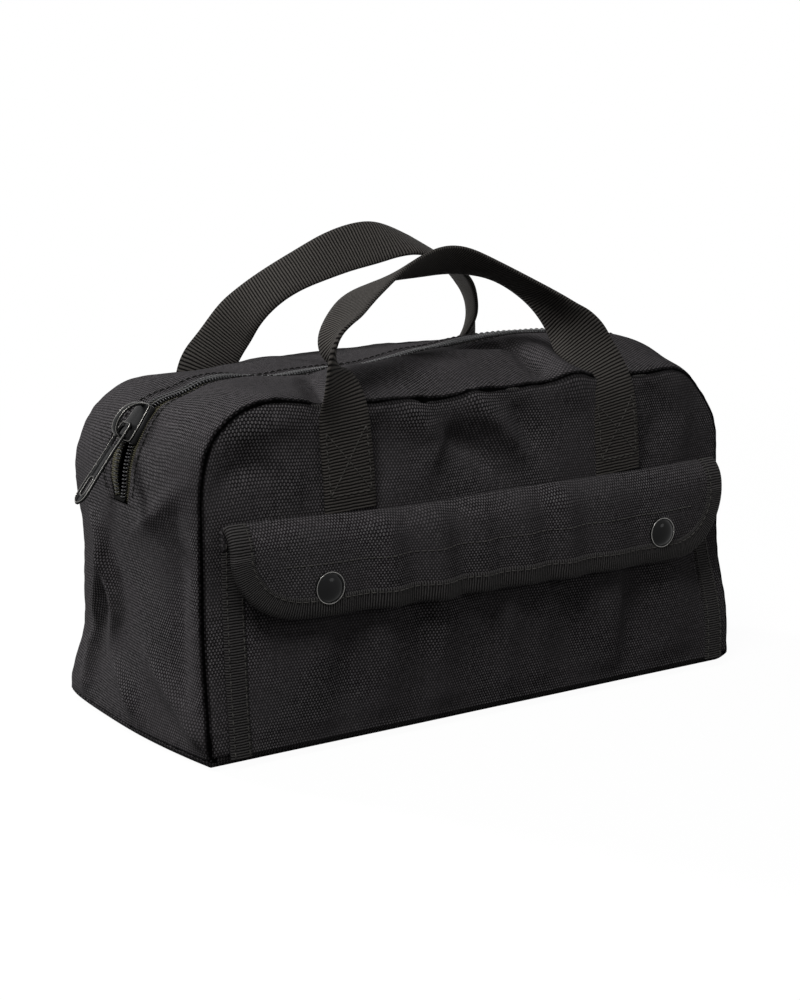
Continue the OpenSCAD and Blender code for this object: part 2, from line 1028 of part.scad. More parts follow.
// Front view of the pull tab, hung from its head
module tab_outline() {
    r = tab_w / 2;
    tip = tab_in + tab_l - r;
    head_r = 1.2;
    translate([tab_in + head_r, -r])
        square([tip - tab_in - head_r, tab_w]);
    translate([tab_in, -r + head_r])
        square([head_r, tab_w - 2 * head_r]);
    for (side = [-1, 1])
        translate([tab_in + head_r, side * (r - head_r)])
            circle(r = head_r, $fn = fine / 2);
    translate([tip, 0])
        circle(r = r, $fn = fine);
}

// Pull tab: a head bar inside the bridge, and a long slot for the fingers
module pull_tab() {
    grip_end = tab_in + tab_l - grip_slot_end - grip_slot_w / 2;
    grip_start = grip_end - grip_slot_l;
    color("#161618")
        at_slider()
            translate([0, 0, plate_top + bridge_lift])
                mirror([1, 0, 0])
                    translate([0, 0, -tab_t / 2])
                        linear_extrude(tab_t)
                            difference() {
                                tab_outline();
                                translate([tab_slot_in, -tab_slot_w / 2])
                                    square([tab_slot_out - tab_slot_in, tab_slot_w]);
                                bar([grip_start, 0], [grip_end, 0], grip_slot_w);
                            }
}

front_panel();
back_panel();
bottom_panel();
left_end_panel();
right_end_panel();
front_zip_gusset();
back_zip_gusset();
front_zip_tape();
back_zip_tape();
front_zip_coil();
back_zip_coil();
zip_end_tacks();
front_seam_binding();
back_seam_binding();
front_left_anchor();
front_right_anchor();
back_left_anchor();
back_right_anchor();
tool_pocket();
pocket_mouth_binding();
pocket_left_binding();
pocket_right_binding();
flap_hem();
snap_studs();
snap_posts();
pocket_flap();
flap_binding();
snap_caps();
snap_sockets();
front_handle();
back_handle();
slider_body();
slider_bridge();
pull_tab();
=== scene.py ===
from math import cos, pi, radians, sin

import bpy
import numpy as np
from mathutils import Matrix, Vector


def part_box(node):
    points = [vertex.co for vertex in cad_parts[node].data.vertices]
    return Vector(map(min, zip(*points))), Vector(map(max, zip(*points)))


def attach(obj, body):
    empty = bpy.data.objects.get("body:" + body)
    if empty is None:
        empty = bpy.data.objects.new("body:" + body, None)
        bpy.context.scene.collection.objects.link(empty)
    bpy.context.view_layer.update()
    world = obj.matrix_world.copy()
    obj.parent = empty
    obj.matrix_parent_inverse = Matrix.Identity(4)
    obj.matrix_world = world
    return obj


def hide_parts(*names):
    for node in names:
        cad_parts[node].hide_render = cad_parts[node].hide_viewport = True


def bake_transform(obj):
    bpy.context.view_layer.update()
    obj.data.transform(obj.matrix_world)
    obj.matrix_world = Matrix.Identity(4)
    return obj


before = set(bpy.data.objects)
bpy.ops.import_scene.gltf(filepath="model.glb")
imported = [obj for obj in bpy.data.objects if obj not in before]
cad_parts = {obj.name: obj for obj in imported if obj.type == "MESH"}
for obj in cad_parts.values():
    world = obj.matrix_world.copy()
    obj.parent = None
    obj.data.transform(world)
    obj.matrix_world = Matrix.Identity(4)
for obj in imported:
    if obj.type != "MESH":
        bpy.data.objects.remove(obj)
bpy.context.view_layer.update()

# The studio.
# The bag stands on a white sweep and is seen from its left front, a little
# above its top. A small lamp stands behind it on the left, a broad one high
# over its left front, and a weak one in front on the right.
scene = bpy.context.scene
scene.view_settings.view_transform = "Standard"

yaw, pitch, roll = radians(34.06), radians(11.82), radians(-0.27)
ahead = Vector((sin(yaw) * cos(pitch), cos(yaw) * cos(pitch), -sin(pitch)))
level = Vector((cos(yaw), -sin(yaw), 0))
upright = level.cross(ahead)
right = level * cos(roll) + upright * sin(roll)
up = upright * cos(roll) - level * sin(roll)
lens = bpy.data.cameras.new("camera")
lens.lens, lens.sensor_width = 75.54, 36
lens.clip_end = 50
camera = bpy.data.objects.new("camera", lens)
scene.collection.objects.link(camera)
stand = Matrix((right, up, -ahead)).transposed().to_4x4()
stand.translation = Vector((-0.5299, -0.7797, 0.2834))
camera.matrix_world = stand
scene.camera = camera
bag_middle = Vector((0, 0, 0.08))


def soft_lamp(name, place, size, watts):
    """Round lamp, turned towards the middle of the bag."""
    lamp = bpy.data.lights.new(name, "AREA")
    lamp.shape, lamp.size, lamp.energy = "DISK", size, watts
    holder = bpy.data.objects.new(name, lamp)
    scene.collection.objects.link(holder)
    holder.location = place
    way = bag_middle - Vector(place)
    holder.rotation_euler = way.to_track_quat("-Z", "Y").to_euler()
    return holder


# Shiny pieces don't mirror the left lamp: the pull tab would turn white.
left_lamp = soft_lamp("left_lamp", (-0.95, 1.7, 0.75), 0.3, 54)
left_lamp.visible_glossy = False
soft_lamp("raking_lamp", (-0.9, -0.69, 1.76), 0.7, 38)
soft_lamp("front_lamp", (0.9, -1.9, 0.9), 0.8, 5.5)


def shown_white(tree, lit, amount):
    """Lets the camera, glass and metal see plain white in place of lit."""
    nodes, links = tree.nodes, tree.links
    path = nodes.new("ShaderNodeLightPath")
    seen = None
    for ray in ("Is Camera Ray", "Is Glossy Ray", "Is Transmission Ray"):
        if seen is None:
            seen = path.outputs[ray]
            continue
        most = nodes.new("ShaderNodeMath")
        most.operation = "MAXIMUM"
        links.new(seen, most.inputs[0])
        links.new(path.outputs[ray], most.inputs[1])
        seen = most.outputs[0]
    share = nodes.new("ShaderNodeMath")
    share.operation = "MULTIPLY"
    links.new(seen, share.inputs[0])
    if isinstance(amount, float):
        share.inputs[1].default_value = amount
    else:
        links.new(amount, share.inputs[1])
    white = nodes.new("ShaderNodeEmission" if lit.name == "BSDF" else "ShaderNodeBackground")
    white.inputs["Color"].default_value = (1, 1, 1, 1)
    white.inputs["Strength"].default_value = 1
    mix = nodes.new("ShaderNodeMixShader")
    links.new(share.outputs[0], mix.inputs[0])
    links.new(lit, mix.inputs[1])
    links.new(white.outputs[0], mix.inputs[2])
    return mix.outputs[0]


world = bpy.data.worlds.new("studio")
scene.world = world
world.use_nodes = True
sky = world.node_tree.nodes["Background"]
sky.inputs["Color"].default_value = (1, 1, 1, 1)
sky.inputs["Strength"].default_value = 0.14
room = shown_white(world.node_tree, sky.outputs[0], 1.0)
world.node_tree.links.new(room, world.node_tree.nodes["World Output"].inputs["Surface"])

sweep_paint = bpy.data.materials.new("white_sweep")
sweep_paint.use_nodes = True
tree = sweep_paint.node_tree
tree.nodes.remove(tree.nodes["Principled BSDF"])
chalk = tree.nodes.new("ShaderNodeBsdfDiffuse")
seen_by = tree.nodes.new("ShaderNodeLightPath")
paler = tree.nodes.new("ShaderNodeMix")
paler.data_type = "RGBA"
tree.links.new(seen_by.outputs["Is Camera Ray"], paler.inputs[0])
paler.inputs[6].default_value, paler.inputs[7].default_value = (0.15, 0.15, 0.15, 1), (0.85, 0.85, 0.85, 1)
tree.links.new(paler.outputs[2], chalk.inputs["Color"])
ground = tree.nodes.new("ShaderNodeNewGeometry")
far_off = tree.nodes.new("ShaderNodeVectorMath")
far_off.operation = "LENGTH"
tree.links.new(ground.outputs["Position"], far_off.inputs[0])
whiter = tree.nodes.new("ShaderNodeMapRange")
tree.links.new(far_off.outputs["Value"], whiter.inputs[0])
for socket, value in zip(whiter.inputs[1:5], (0.35, 1.0, 0.965, 1.0)):
    socket.default_value = value
floor_look = shown_white(tree, chalk.outputs[0], whiter.outputs[0])
tree.links.new(floor_look, tree.nodes["Material Output"].inputs["Surface"])
sweep = bpy.data.meshes.new("white_sweep")
sweep.from_pydata([(-6, -6, 0), (6, -6, 0), (6, 6, 0), (-6, 6, 0)], [], [(0, 1, 2, 3)])
sweep.materials.append(sweep_paint)
floor = bpy.data.objects.new("white_sweep", sweep)
scene.collection.objects.link(floor)

# Body cloth.
# The body is heavy cotton duck: a front and a back panel, two ends and a
# bottom, sewn inside out and turned, so that each seam is a soft groove.
# All lengths here are millimetres of the unworn bag, and settle() lets the
# cloth sag, swell and crease as it does on the real one.
half_long, half_deep, tall = 140.0, 65.0, 147.0
shoulder, swell, cloth_thick = 38.0, 5.0, 2.0
arc_x, arc_z = half_long - shoulder, tall - shoulder
swell_r = (half_deep**2 + swell**2) / (2 * swell)
quarter = shoulder * pi / 2
round_long = 2 * arc_z + 2 * quarter + 2 * arc_x


def round_the_bag(s):
    """Point and outward direction at s along the outline of the front panel,
    from the floor on the left, over the top, to the floor on the right."""
    s = np.asarray(s, float)
    turn = np.clip((s - arc_z) / shoulder, 0, pi / 2)
    after = np.clip((s - arc_z - quarter - 2 * arc_x) / shoulder, 0, pi / 2)
    angle = turn + after
    nx, nz = -np.cos(angle), np.sin(angle)
    on_right = s > arc_z + quarter + arc_x
    cx = np.where(on_right, arc_x, -arc_x)
    top_part = (s > arc_z + quarter) & (s < arc_z + quarter + 2 * arc_x)
    cx = np.where(top_part, s - arc_z - quarter - arc_x, cx)
    cz = np.where(s < arc_z, s, arc_z)
    cz = np.where(s > round_long - arc_z, round_long - s, cz)
    return cx + nx * shoulder, cz + nz * shoulder, nx, nz


def crown(y):
    """How far the ends and the top swell outside the seams at depth y."""
    return swell - (swell_r - np.sqrt(swell_r**2 - np.asarray(y, float) ** 2))


# Pulls: where the unworn cloth is, and how far it has moved.
pulls = np.array([
    (-140, -65, 0, 0, 0, 0), (-140, -65, 30, -0.5, 2, 0), (-140, -65, 60, -0.5, 4, 0),
    (-140, -65, 90, -0.5, 3.5, 0), (-140, -65, 109, -0.5, 3.3, 0),
    (-134.9, -65, 128, -2.5, 3.3, 3), (-128.9, -65, 135.9, -3, 3, 4.5),
    (-121, -65, 141.9, -1.5, 2.5, 5.5), (-102, -65, 147, 0, 1.5, 3.8), (-75, -65, 147, 0, 0.5, 1),
    (-50, -65, 147, 0, 0.5, -1.3), (-20, -65, 147, 0, 1, -2.2), (20, -65, 147, 0, 1, -0.6),
    (60, -65, 147, 0, 1, -0.6), (102, -65, 147, 0, 2, -1), (121, -65, 141.9, -1.5, 4, -1),
    (134.9, -65, 128, -3, 5, -1), (140, -65, 109, -1, 6, 0), (140, -65, 85, -0.5, 6, 0),
    (140, -65, 60, 0, 5, 0), (140, -65, 35, 2.5, 1, 0), (140, -65, 5, 4, 0, 0),
    (-140, 65, 0, -1, 0, 0), (-140, 65, 12, -0.5, 0, 0), (-140, 65, 30, 3, -4.5, 0),
    (-140, 65, 50, 4, -7.5, 0), (-140, 65, 70, 4, -7.5, 0), (-140, 65, 90, 3.3, -6.5, 0),
    (-140, 65, 109, 2.7, -4, 0), (-134.9, 65, 128, 2.7, -4, 0), (-128.9, 65, 135.9, 2.4, -3.5, -1),
    (-121, 65, 141.9, 2.4, -3.5, -1.5), (-102, 65, 147, 2, -4, -2.5), (-60, 65, 147, 0, -2, -1.5),
    (-112, 65, 85, 0, 0, 0), (-100, 30, 149, 0, 0, -1), (-50, 30, 150, 0, 0, 0),
    (0, 32, 150, 0, 0, 1), (40, 33, 150, 0, 0, 2), (80, 33, 150, 0, 0, 2),
    (-62, -22, 151, 0, 0, 1.5), (-36, -22, 151, 0, 0, 4), (-12, -22, 151, 0, 0, 4.5),
    (-20, 65, 147, 0, 0, 1), (30, 65, 147, 0, 0, 2), (70, 65, 147, 0, -2, 1),
    (110, 65, 146, 0, -4, -1), (140, 65, 109, -1, -6, 0), (140, 65, 60, -1, -8, 0),
    (140, 65, 20, 0, -2, 0), (140, 65, 0, 1, 0, 0),
    (-134.3, 0, 134.2, 0, 0, 0), (-134, -9, 134, 0, 0, 0), (-134, 9, 134, 0, 0, 0),
    (-128, 0, 141, 0, 0, 0), (-139, 0, 127, 0, 0, 0), (-143, 0, 118, 0, 0, 0),
    (-146, 0, 103, 0, 0, -1), (-145, 0, 60, 1, 0, 0), (-145, 0, 10, 0, 0, 0),
    (-117, 0, 148, 0, 0, -2.5), (-105, 0, 151.8, 0, 0, -1.5), (-85, 0, 152, 0, 0, -0.8),
    (-60, 0, 152, 0, 0, -2.2), (-30, 0, 152, 0, 0, -1.2), (0, 0, 152, 0, 0, 2.3),
    (30, 0, 152, 0, 0, 6), (60, 0, 152, 0, 0, 7.5), (95, 0, 151, 0, 0, 6),
    (125, 0, 144, 2, 0, 4), (143, 0, 120, 2, 0, 0), (145, 0, 60, 0, 0, 0),
    (145, 0, 10, 0, 0, 0),
    (-70, -65, 70, 0, -1, 0), (0, -65, 70, 0, -2, 0), (70, -65, 70, 0, -1, 0),
    (-70, -65, 125, 0, 0.5, 0), (70, -65, 125, 0, 0.5, 0), (0, -65, 125, 0, 0, 0),
    (-70, -65, 5, 0, 0, 0), (0, -65, 5, 0, 0, 0), (70, -65, 5, 0, 0, 0),
    (0, 65, 75, 0, 1, 0), (-70, 65, 75, 0, 0, 0), (70, 65, 75, 0, 0, 0),
    (0, 65, 125, 0, -1, 0), (-70, 65, 5, 0, 0, 0), (0, 65, 5, 0, 0, 0),
    (70, 65, 5, 0, 0, 0), (0, 0, 0, 0, 0, 0), (-100, 0, 0, 0, 0, 0), (100, 0, 0, 0, 0, 0),
], float)
pull_reach = 42.0


def nearness(a, b):
    """How strongly each point of a is tied to each point of b."""
    gap = np.linalg.norm(a[:, None, :] - b[None, :, :], axis=2)
    return 1 / np.sqrt(1 + (gap / pull_reach) ** 2)


pull_weights = np.linalg.solve(nearness(pulls[:, :3], pulls[:, :3]), pulls[:, 3:])

# Creases, in the place where they are on the settled bag: a line of points,
# how far the cloth stands out there, and half the width of the fold.
creases = [
    ([(-144, 32, 98), (-144, 21, 87), (-144, 15, 75), (-144, 18, 68), (-144, 23, 60),
      (-144, 29, 47), (-144, 37, 34), (-143, 43, 14)], 7.0, 5.5),
    ([(-144, 15, 76), (-144, 10, 69), (-144, 8, 61), (-144, 7, 54), (-144, 15, 39)], 4.5, 4.5),
    ([(-144, 42, 60), (-144, 37, 52), (-144, 34, 46), (-144, 42, 36)], -4.2, 4.5),
    ([(-144, -22, 41), (-144, -32, 33), (-144, -43, 25), (-144, -56, 15), (-143, -64, 10)], 4.2, 4.5),
    ([(-144, 11, 33), (-144, -2, 21), (-144, -10, 12)], 3.4, 4.5),
    ([(-144, -14, 93), (-144, -35, 105), (-140, -51, 117)], 2.6, 5.0),
    ([(-144, -44, 104), (-144, -46, 82), (-144, -46, 58), (-144, -48, 22)], -2.6, 7.0),
    ([(-58, -13, 152), (-71, -34, 151), (-82, -58, 149), (-86, -66, 145)], -4.1, 4.5),
    ([(20, -18, 158), (38, -20, 157), (43, -27, 155), (38, -45, 151), (31, -59, 148)], -5.0, 4.5),
    ([(44, -20, 157), (50, -36, 153), (47, -58, 148), (54, -66, 144)], 3.6, 6.0),
    ([(-12, -67, 146), (-4, -67, 137), (4, -67, 130), (15, -67, 117)], 6.5, 5.0),
    ([(14, -67, 140), (20, -67, 128), (27, -67, 116)], -3.8, 6.0),
    ([(-24, -67, 128), (-15, -67, 125), (-6, -67, 119), (4, -67, 108)], -6.1, 6.0),
    ([(-48, -67, 145), (-36, -67, 135), (-28, -67, 126), (-33, -67, 114)], 4.9, 6.0),
    ([(-60, -67, 142), (-56, -67, 126), (-59, -67, 106)], -3.4, 7.0),
    ([(37, -67, 147), (45, -67, 144), (55, -67, 134), (58, -67, 118)], 3.0, 7.0),
    ([(-128, -67, 136), (-112, -67, 140), (-94, -67, 142)], 2.7, 5.0),
    ([(-132, -66, 118), (-118, -67, 124), (-104, -67, 122)], -2.5, 5.0),
    ([(-108, -67, 130), (-98, -67, 120), (-97, -67, 106)], 2.5, 5.0),
    ([(88, -67, 142), (98, -67, 126), (92, -67, 108)], -2.3, 7.0),
    ([(104, -67, 142), (114, -67, 124), (112, -67, 106)], 2.3, 6.0),
]

lump_rng = np.random.default_rng(7)
lump_waves = [
    (lump_rng.normal(size=3), lump_rng.uniform(0, 2 * pi), lump_rng.uniform(18, 55))
    for _ in range(26)
]
lump_share = 0.7
calm_middle = (-134, 0, 132)


def to_line(p, out, line):
    """Distance of each point from a line of points, measured mostly along
    the cloth, and place along the line."""
    line = np.array(line, float)
    best = np.full(len(p), 1e9)
    place = np.zeros(len(p))
    for i in range(len(line) - 1):
        a, way = line[i], line[i + 1] - line[i]
        t = np.clip(((p - a) @ way) / (way @ way), 0, 1)
        off = p - (a + t[:, None] * way)
        above = np.clip((off * out).sum(axis=1), -10, 10)
        gap = np.sqrt(np.maximum((off * off).sum(axis=1) - 0.9 * above**2, 0))
        nearer = gap < best
        best = np.where(nearer, gap, best)
        place = np.where(nearer, (i + t) / (len(line) - 1), place)
    return best, place


def lumps(p):
    """Soft unevenness of a loosely filled bag, up to about a millimetre high."""
    high = np.zeros(len(p))
    for way, phase, length in lump_waves:
        way = way / np.linalg.norm(way)
        high += np.sin(p @ way * 2 * pi / length + phase) * length / 90
    return high / np.sqrt(len(lump_waves)) * 1.6


def step(value, low, high):
    """Rises smoothly from 0 at low to 1 at high."""
    t = np.clip((np.asarray(value, float) - low) / (high - low), 0, 1)
    return t * t * (3 - 2 * t)


def to_seam(p, out):
    """Turns the outward way of the cloth on both sides of a seam together,
    so that a fold which crosses the seam doesn't part it."""
    side = np.sign(p[:, 1])
    x_past, z_past = np.clip(np.abs(p[:, 0]) - arc_x, 0, None), np.clip(p[:, 2] - arc_z, 0, None)
    radius = np.maximum(np.hypot(x_past, z_past), 1e-6)
    near_outline = np.abs(shoulder - radius)
    apart = np.maximum(half_deep - np.abs(p[:, 1]), near_outline)
    rim = np.stack([np.sign(p[:, 0]) * x_past / radius, side, z_past / radius], axis=-1)
    rim /= np.linalg.norm(rim, axis=1)[:, None]
    share = (1 - step(apart, 1.0, 12.0))[:, None]
    way = out * (1 - share) + rim * share
    return way / np.maximum(np.linalg.norm(way, axis=1), 1e-6)[:, None]


def settle(p, out, soft=1.0):
    """Moves unworn cloth to where it lies on the settled bag. It has no lumps
    or creases near the slider and at the floor."""
    p = np.asarray(p, float)
    shape = p.shape
    p = p.reshape(-1, 3)
    out = np.broadcast_to(np.asarray(out, float), shape).reshape(-1, 3)
    moved = p + nearness(p, pulls[:, :3]) @ pull_weights
    calm = step(np.linalg.norm(moved - calm_middle, axis=1), 16, 34)
    low = step(moved[:, 2], 1, 14)
    high = lumps(moved) * lump_share
    for line, stand_out, wide in creases:
        gap, place = to_line(moved, out, line)
        fade = np.sin(np.clip(place, 0.04, 0.96) * pi) ** 0.5
        high = high + stand_out * fade * np.exp(-((gap / wide) ** 1.6))
    moved = moved + to_seam(p, out) * (high * calm * low * soft)[:, None]
    moved[:, 2] = np.maximum(moved[:, 2], 0.15)
    return moved.reshape(shape)


def sheet_mesh(name, rows, lie, finish, seam_shade=None):
    """A net of points, with its place on the cloth in millimetres as UV, and
    how much painted shade it gets deep in a seam, from 0 to 1."""
    n, m = rows.shape[:2]
    index = np.arange(n * m).reshape(n, m)
    quads = np.stack([index[:-1, :-1], index[1:, :-1], index[1:, 1:], index[:-1, 1:]],
                     axis=-1).reshape(-1, 4)
    piece = skin_mesh(name, rows.reshape(-1, 3), quads, lie.reshape(-1, 2), finish)
    if seam_shade is not None:
        shade_share = piece.data.attributes.new("seam_shade", "FLOAT", "POINT")
        shade_share.data.foreach_set("value", np.ascontiguousarray(seam_shade, dtype=np.float32).ravel())
    return piece


def smooth_piece(name, mesh, finish):
    mesh.polygons.foreach_set("use_smooth", np.ones(len(mesh.polygons), bool))
    mesh.materials.append(finish)
    piece = bpy.data.objects.new(name, mesh)
    scene.collection.objects.link(piece)
    return piece


def skin_mesh(name, points, faces, lie, finish):
    """Cloth from points in millimetres, each with its place on the cloth."""
    mesh = bpy.data.meshes.new(name)
    mesh.from_pydata((np.asarray(points) / 1000).tolist(), [], np.asarray(faces).tolist())
    layer = mesh.uv_layers.new(name="cloth")
    corner = np.empty(len(mesh.loops), int)
    mesh.loops.foreach_get("vertex_index", corner)
    layer.data.foreach_set("uv", (np.asarray(lie)[corner] / 1000).ravel())
    return smooth_piece(name, mesh, finish)


def thicken(piece, mm, side=-1.0):
    """Gives cloth its thickness: inward, or both ways where side is 0."""
    solid = piece.modifiers.new("thickness", "SOLIDIFY")
    solid.thickness, solid.offset = mm / 1000, side
    solid.use_even_offset = False


def sockets(tree, kind, **values):
    """New shader node with its settings or its inputs given by name."""
    node = tree.nodes.new(kind)
    for name, value in values.items():
        if hasattr(node, name):
            setattr(node, name, value)
        else:
            node.inputs[name.replace("_", " ")].default_value = value
    return node


def maths(tree, kind, a, b=None, c=None):
    """One step of arithmetic on numbers and on other nodes' outputs."""
    node = tree.nodes.new("ShaderNodeMath")
    node.operation = kind
    for i, value in enumerate((a, b, c)):
        if value is None:
            continue
        if isinstance(value, (int, float)):
            node.inputs[i].default_value = value
        else:
            tree.links.new(value, node.inputs[i])
    return node.outputs[0]


def blend_colour(tree, share, a, b, kind="MIX"):
    node = tree.nodes.new("ShaderNodeMix")
    node.data_type, node.blend_type = "RGBA", kind
    for socket, value in ((node.inputs[0], share), (node.inputs[6], a), (node.inputs[7], b)):
        if isinstance(value, (int, float)):
            socket.default_value = value
        elif isinstance(value, tuple):
            socket.default_value = value + (1,) if len(value) == 3 else value
        else:
            tree.links.new(value, socket)
    return node.outputs[2]


def grey(tree, value, low, high):
    """Maps a value from low..high to 0..1."""
    node = tree.nodes.new("ShaderNodeMapRange")
    tree.links.new(value, node.inputs[0])
    node.inputs[1].default_value, node.inputs[2].default_value = low, high
    return node.outputs[0]


def ridges(tree, value, turn):
    """Round ridges from 0 to 1, as the value times turn goes round."""
    return maths(tree, "ABSOLUTE", maths(tree, "SINE", maths(tree, "MULTIPLY", value, turn)))


warp_pitch, weft_pitch = 0.7, 1.27


def duck_cloth(name, colour):
    """Plain-woven cotton duck: plump yarns over and under each other."""
    cloth = bpy.data.materials.new(name)
    cloth.use_nodes = True
    tree = cloth.node_tree
    links = tree.links
    look = tree.nodes["Principled BSDF"]
    uv = sockets(tree, "ShaderNodeUVMap", uv_map="cloth")
    wander = sockets(tree, "ShaderNodeTexNoise", Scale=110.0, Detail=3.0)
    links.new(uv.outputs[0], wander.inputs["Vector"])
    grid = tree.nodes.new("ShaderNodeVectorMath")
    grid.operation = "MULTIPLY_ADD"
    links.new(wander.outputs["Color"], grid.inputs[0])
    grid.inputs[1].default_value = (0.0009, 0.0009, 0)
    links.new(uv.outputs[0], grid.inputs[2])
    scaled = tree.nodes.new("ShaderNodeVectorMath")
    scaled.operation = "MULTIPLY"
    links.new(grid.outputs[0], scaled.inputs[0])
    scaled.inputs[1].default_value = (1000 / warp_pitch, 1000 / weft_pitch, 0)
    parts = tree.nodes.new("ShaderNodeSeparateXYZ")
    links.new(scaled.outputs[0], parts.inputs[0])
    across = ridges(tree, parts.outputs[0], pi)
    along = ridges(tree, parts.outputs[1], pi)
    squares = sockets(tree, "ShaderNodeTexChecker", Scale=1.0)
    links.new(scaled.outputs[0], squares.inputs["Vector"])
    over = maths(tree, "MULTIPLY", maths(tree, "POWER", across, 0.7), maths(tree, "POWER", along, 0.6))
    under = maths(tree, "MULTIPLY", maths(tree, "MULTIPLY", along, 0.32), maths(tree, "POWER", across, 0.4))
    picked = tree.nodes.new("ShaderNodeMix")
    links.new(squares.outputs["Fac"], picked.inputs[0])
    links.new(under, picked.inputs[2])
    links.new(over, picked.inputs[3])
    weave = picked.outputs[0]
    fuzz = sockets(tree, "ShaderNodeTexNoise", Scale=2200.0, Detail=3.0)
    links.new(uv.outputs[0], fuzz.inputs["Vector"])
    slub = sockets(tree, "ShaderNodeTexNoise", Scale=420.0, Detail=3.0)
    links.new(uv.outputs[0], slub.inputs["Vector"])
    patch = sockets(tree, "ShaderNodeTexNoise", Scale=30.0, Detail=4.0)
    links.new(uv.outputs[0], patch.inputs["Vector"])
    # Painted highlight and shade: each yarn is lighter on its crest and darker where it dips into the gaps.
    gap_shade = tuple(c * 0.05 for c in colour)
    crest_light = tuple(min(1, c * 3.6) for c in colour)
    crest = maths(tree, "MULTIPLY", weave, maths(tree, "MULTIPLY_ADD", slub.outputs["Fac"], 1.1, 0.3))
    body = blend_colour(tree, grey(tree, crest, 0.08, 0.85), gap_shade, crest_light)
    body = blend_colour(tree, grey(tree, patch.outputs["Fac"], 0.3, 0.7), body,
                        blend_colour(tree, 1.0, body, (1.35, 1.3, 1.34), "MULTIPLY"))
    worn = maths(tree, "MULTIPLY", grey(tree, patch.outputs["Fac"], 0.4, 0.62), 0.6)
    body = blend_colour(tree, worn, body, tuple(c * 0.95 for c in colour))
    flecks = sockets(tree, "ShaderNodeTexVoronoi", Scale=300.0)
    links.new(uv.outputs[0], flecks.inputs["Vector"])
    rare = maths(tree, "GREATER_THAN", flecks.outputs["Color"], 0.8)
    spot = maths(tree, "LESS_THAN", flecks.outputs["Distance"], 0.13)
    dots = maths(tree, "MULTIPLY", maths(tree, "MULTIPLY", rare, spot), 0.35)
    body = blend_colour(tree, dots, body, (0.13, 0.125, 0.12))
    # Painted shade: cloth deep in a seam's groove is turned almost black.
    seam_shade_node = sockets(tree, "ShaderNodeAttribute", attribute_name="seam_shade")
    body = blend_colour(tree, seam_shade_node.outputs["Fac"], body, (0.0006, 0.0006, 0.0006))
    links.new(body, look.inputs["Base Color"])
    look.inputs["Roughness"].default_value = 0.9
    look.inputs["Specular IOR Level"].default_value = 0.0
    look.inputs["Sheen Weight"].default_value = 0.012
    look.inputs["Sheen Roughness"].default_value = 0.5
    look.inputs["Sheen Tint"].default_value = (0.75, 0.75, 0.78, 1)
    height = maths(tree, "MULTIPLY_ADD", fuzz.outputs["Fac"], 0.3, weave)
    bump = sockets(tree, "ShaderNodeBump", Strength=0.3, Distance=0.0002)
    links.new(height, bump.inputs["Height"])
    links.new(bump.outputs[0], look.inputs["Normal"])
    return cloth


black_duck = duck_cloth("black_duck", (0.029, 0.0276, 0.0284))
soft_drop, soft_wide, seam_drop, seam_wide = 0.9, 6, 3.2, 1.5


def seam_roll(inside):
    """How far the turned cloth has sunk at a distance from its seam: a soft
    shoulder, and then a narrow drop between the two edges."""
    inside = np.asarray(inside, float)
    soft = soft_drop * np.clip(1 - inside / soft_wide, 0, 1) ** 2
    return soft + seam_drop * np.clip(1 - inside / seam_wide, 0, 1) ** 1.5


def seam_shade_share(inside):
    """Painted shade deep in a seam's groove, from 0 to 1, at a distance from the sewn line."""
    return 1 - step(inside, 0.9, 2.1)


def pucker(s, inside, seed):
    """Small gathers of the stitching, fading away from the seam."""
    rng = np.random.default_rng(seed)
    ripple = sum(np.sin(2 * pi * s / w + rng.uniform(0, 6)) for w in (7.1, 9.7, 13.3)) / 3
    return 0.32 * ripple * np.exp(-np.asarray(inside, float) / 6)


def spaced(low, high, gap, fine=0.7, margin=4.0):
    """Places from low to high, close together near both ends."""
    ends = np.arange(0, margin, fine)
    count = max(2, int(round((high - low - 2 * margin) / gap)))
    middle = np.linspace(low + margin, high - margin, count + 1)
    return np.concatenate([low + ends, middle, high - ends[::-1]])


seam_in, panel_low = 0.9, 5.0


def panel_net(side):
    """Front (side -1) or back panel as columns under its round outline."""
    xs = spaced(-half_long + seam_in, half_long - seam_in, 2.2)
    r = shoulder - seam_in
    over_arc = np.clip(np.abs(xs) - arc_x, 0, r)
    tops = arc_z + np.sqrt(np.maximum(r * r - over_arc**2, 0))
    tops = np.where(np.abs(xs) <= arc_x, tall - seam_in, tops)
    share = spaced(0, 100, 1.5, 0.5, 3.0) / 100
    z = panel_low + (tops[:, None] - panel_low) * share[None, :]
    x = np.repeat(xs[:, None], len(share), axis=1)
    past = np.hypot(np.clip(np.abs(x) - arc_x, 0, None), np.clip(z - arc_z, 0, None))
    inside = np.where((np.abs(x) > arc_x) & (z > arc_z), shoulder - past,
                      np.minimum(half_long - np.abs(x), tall - z))
    inside = np.minimum(inside, z - panel_low + seam_in)
    roll = seam_roll(inside - seam_in)
    gather = pucker(x + z, inside, 11 if side < 0 else 12)
    y = side * (half_deep - roll + gather)
    rows = np.stack([x, y, z], axis=-1)
    return settle(rows, (0, side, 0)), np.stack([x, z], axis=-1), seam_shade_share(inside - seam_in)


for side, name in ((-1, "front_panel"), (1, "back_panel")):
    rows, lie, shade_share = panel_net(side)
    if side > 0:
        rows, lie, shade_share = rows[::-1], lie[::-1], shade_share[::-1]
    panel = sheet_mesh(name + "_cloth", rows, lie, black_duck, shade_share)
    thicken(panel, cloth_thick * 0.6)
    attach(panel, "bag")
    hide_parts(name)

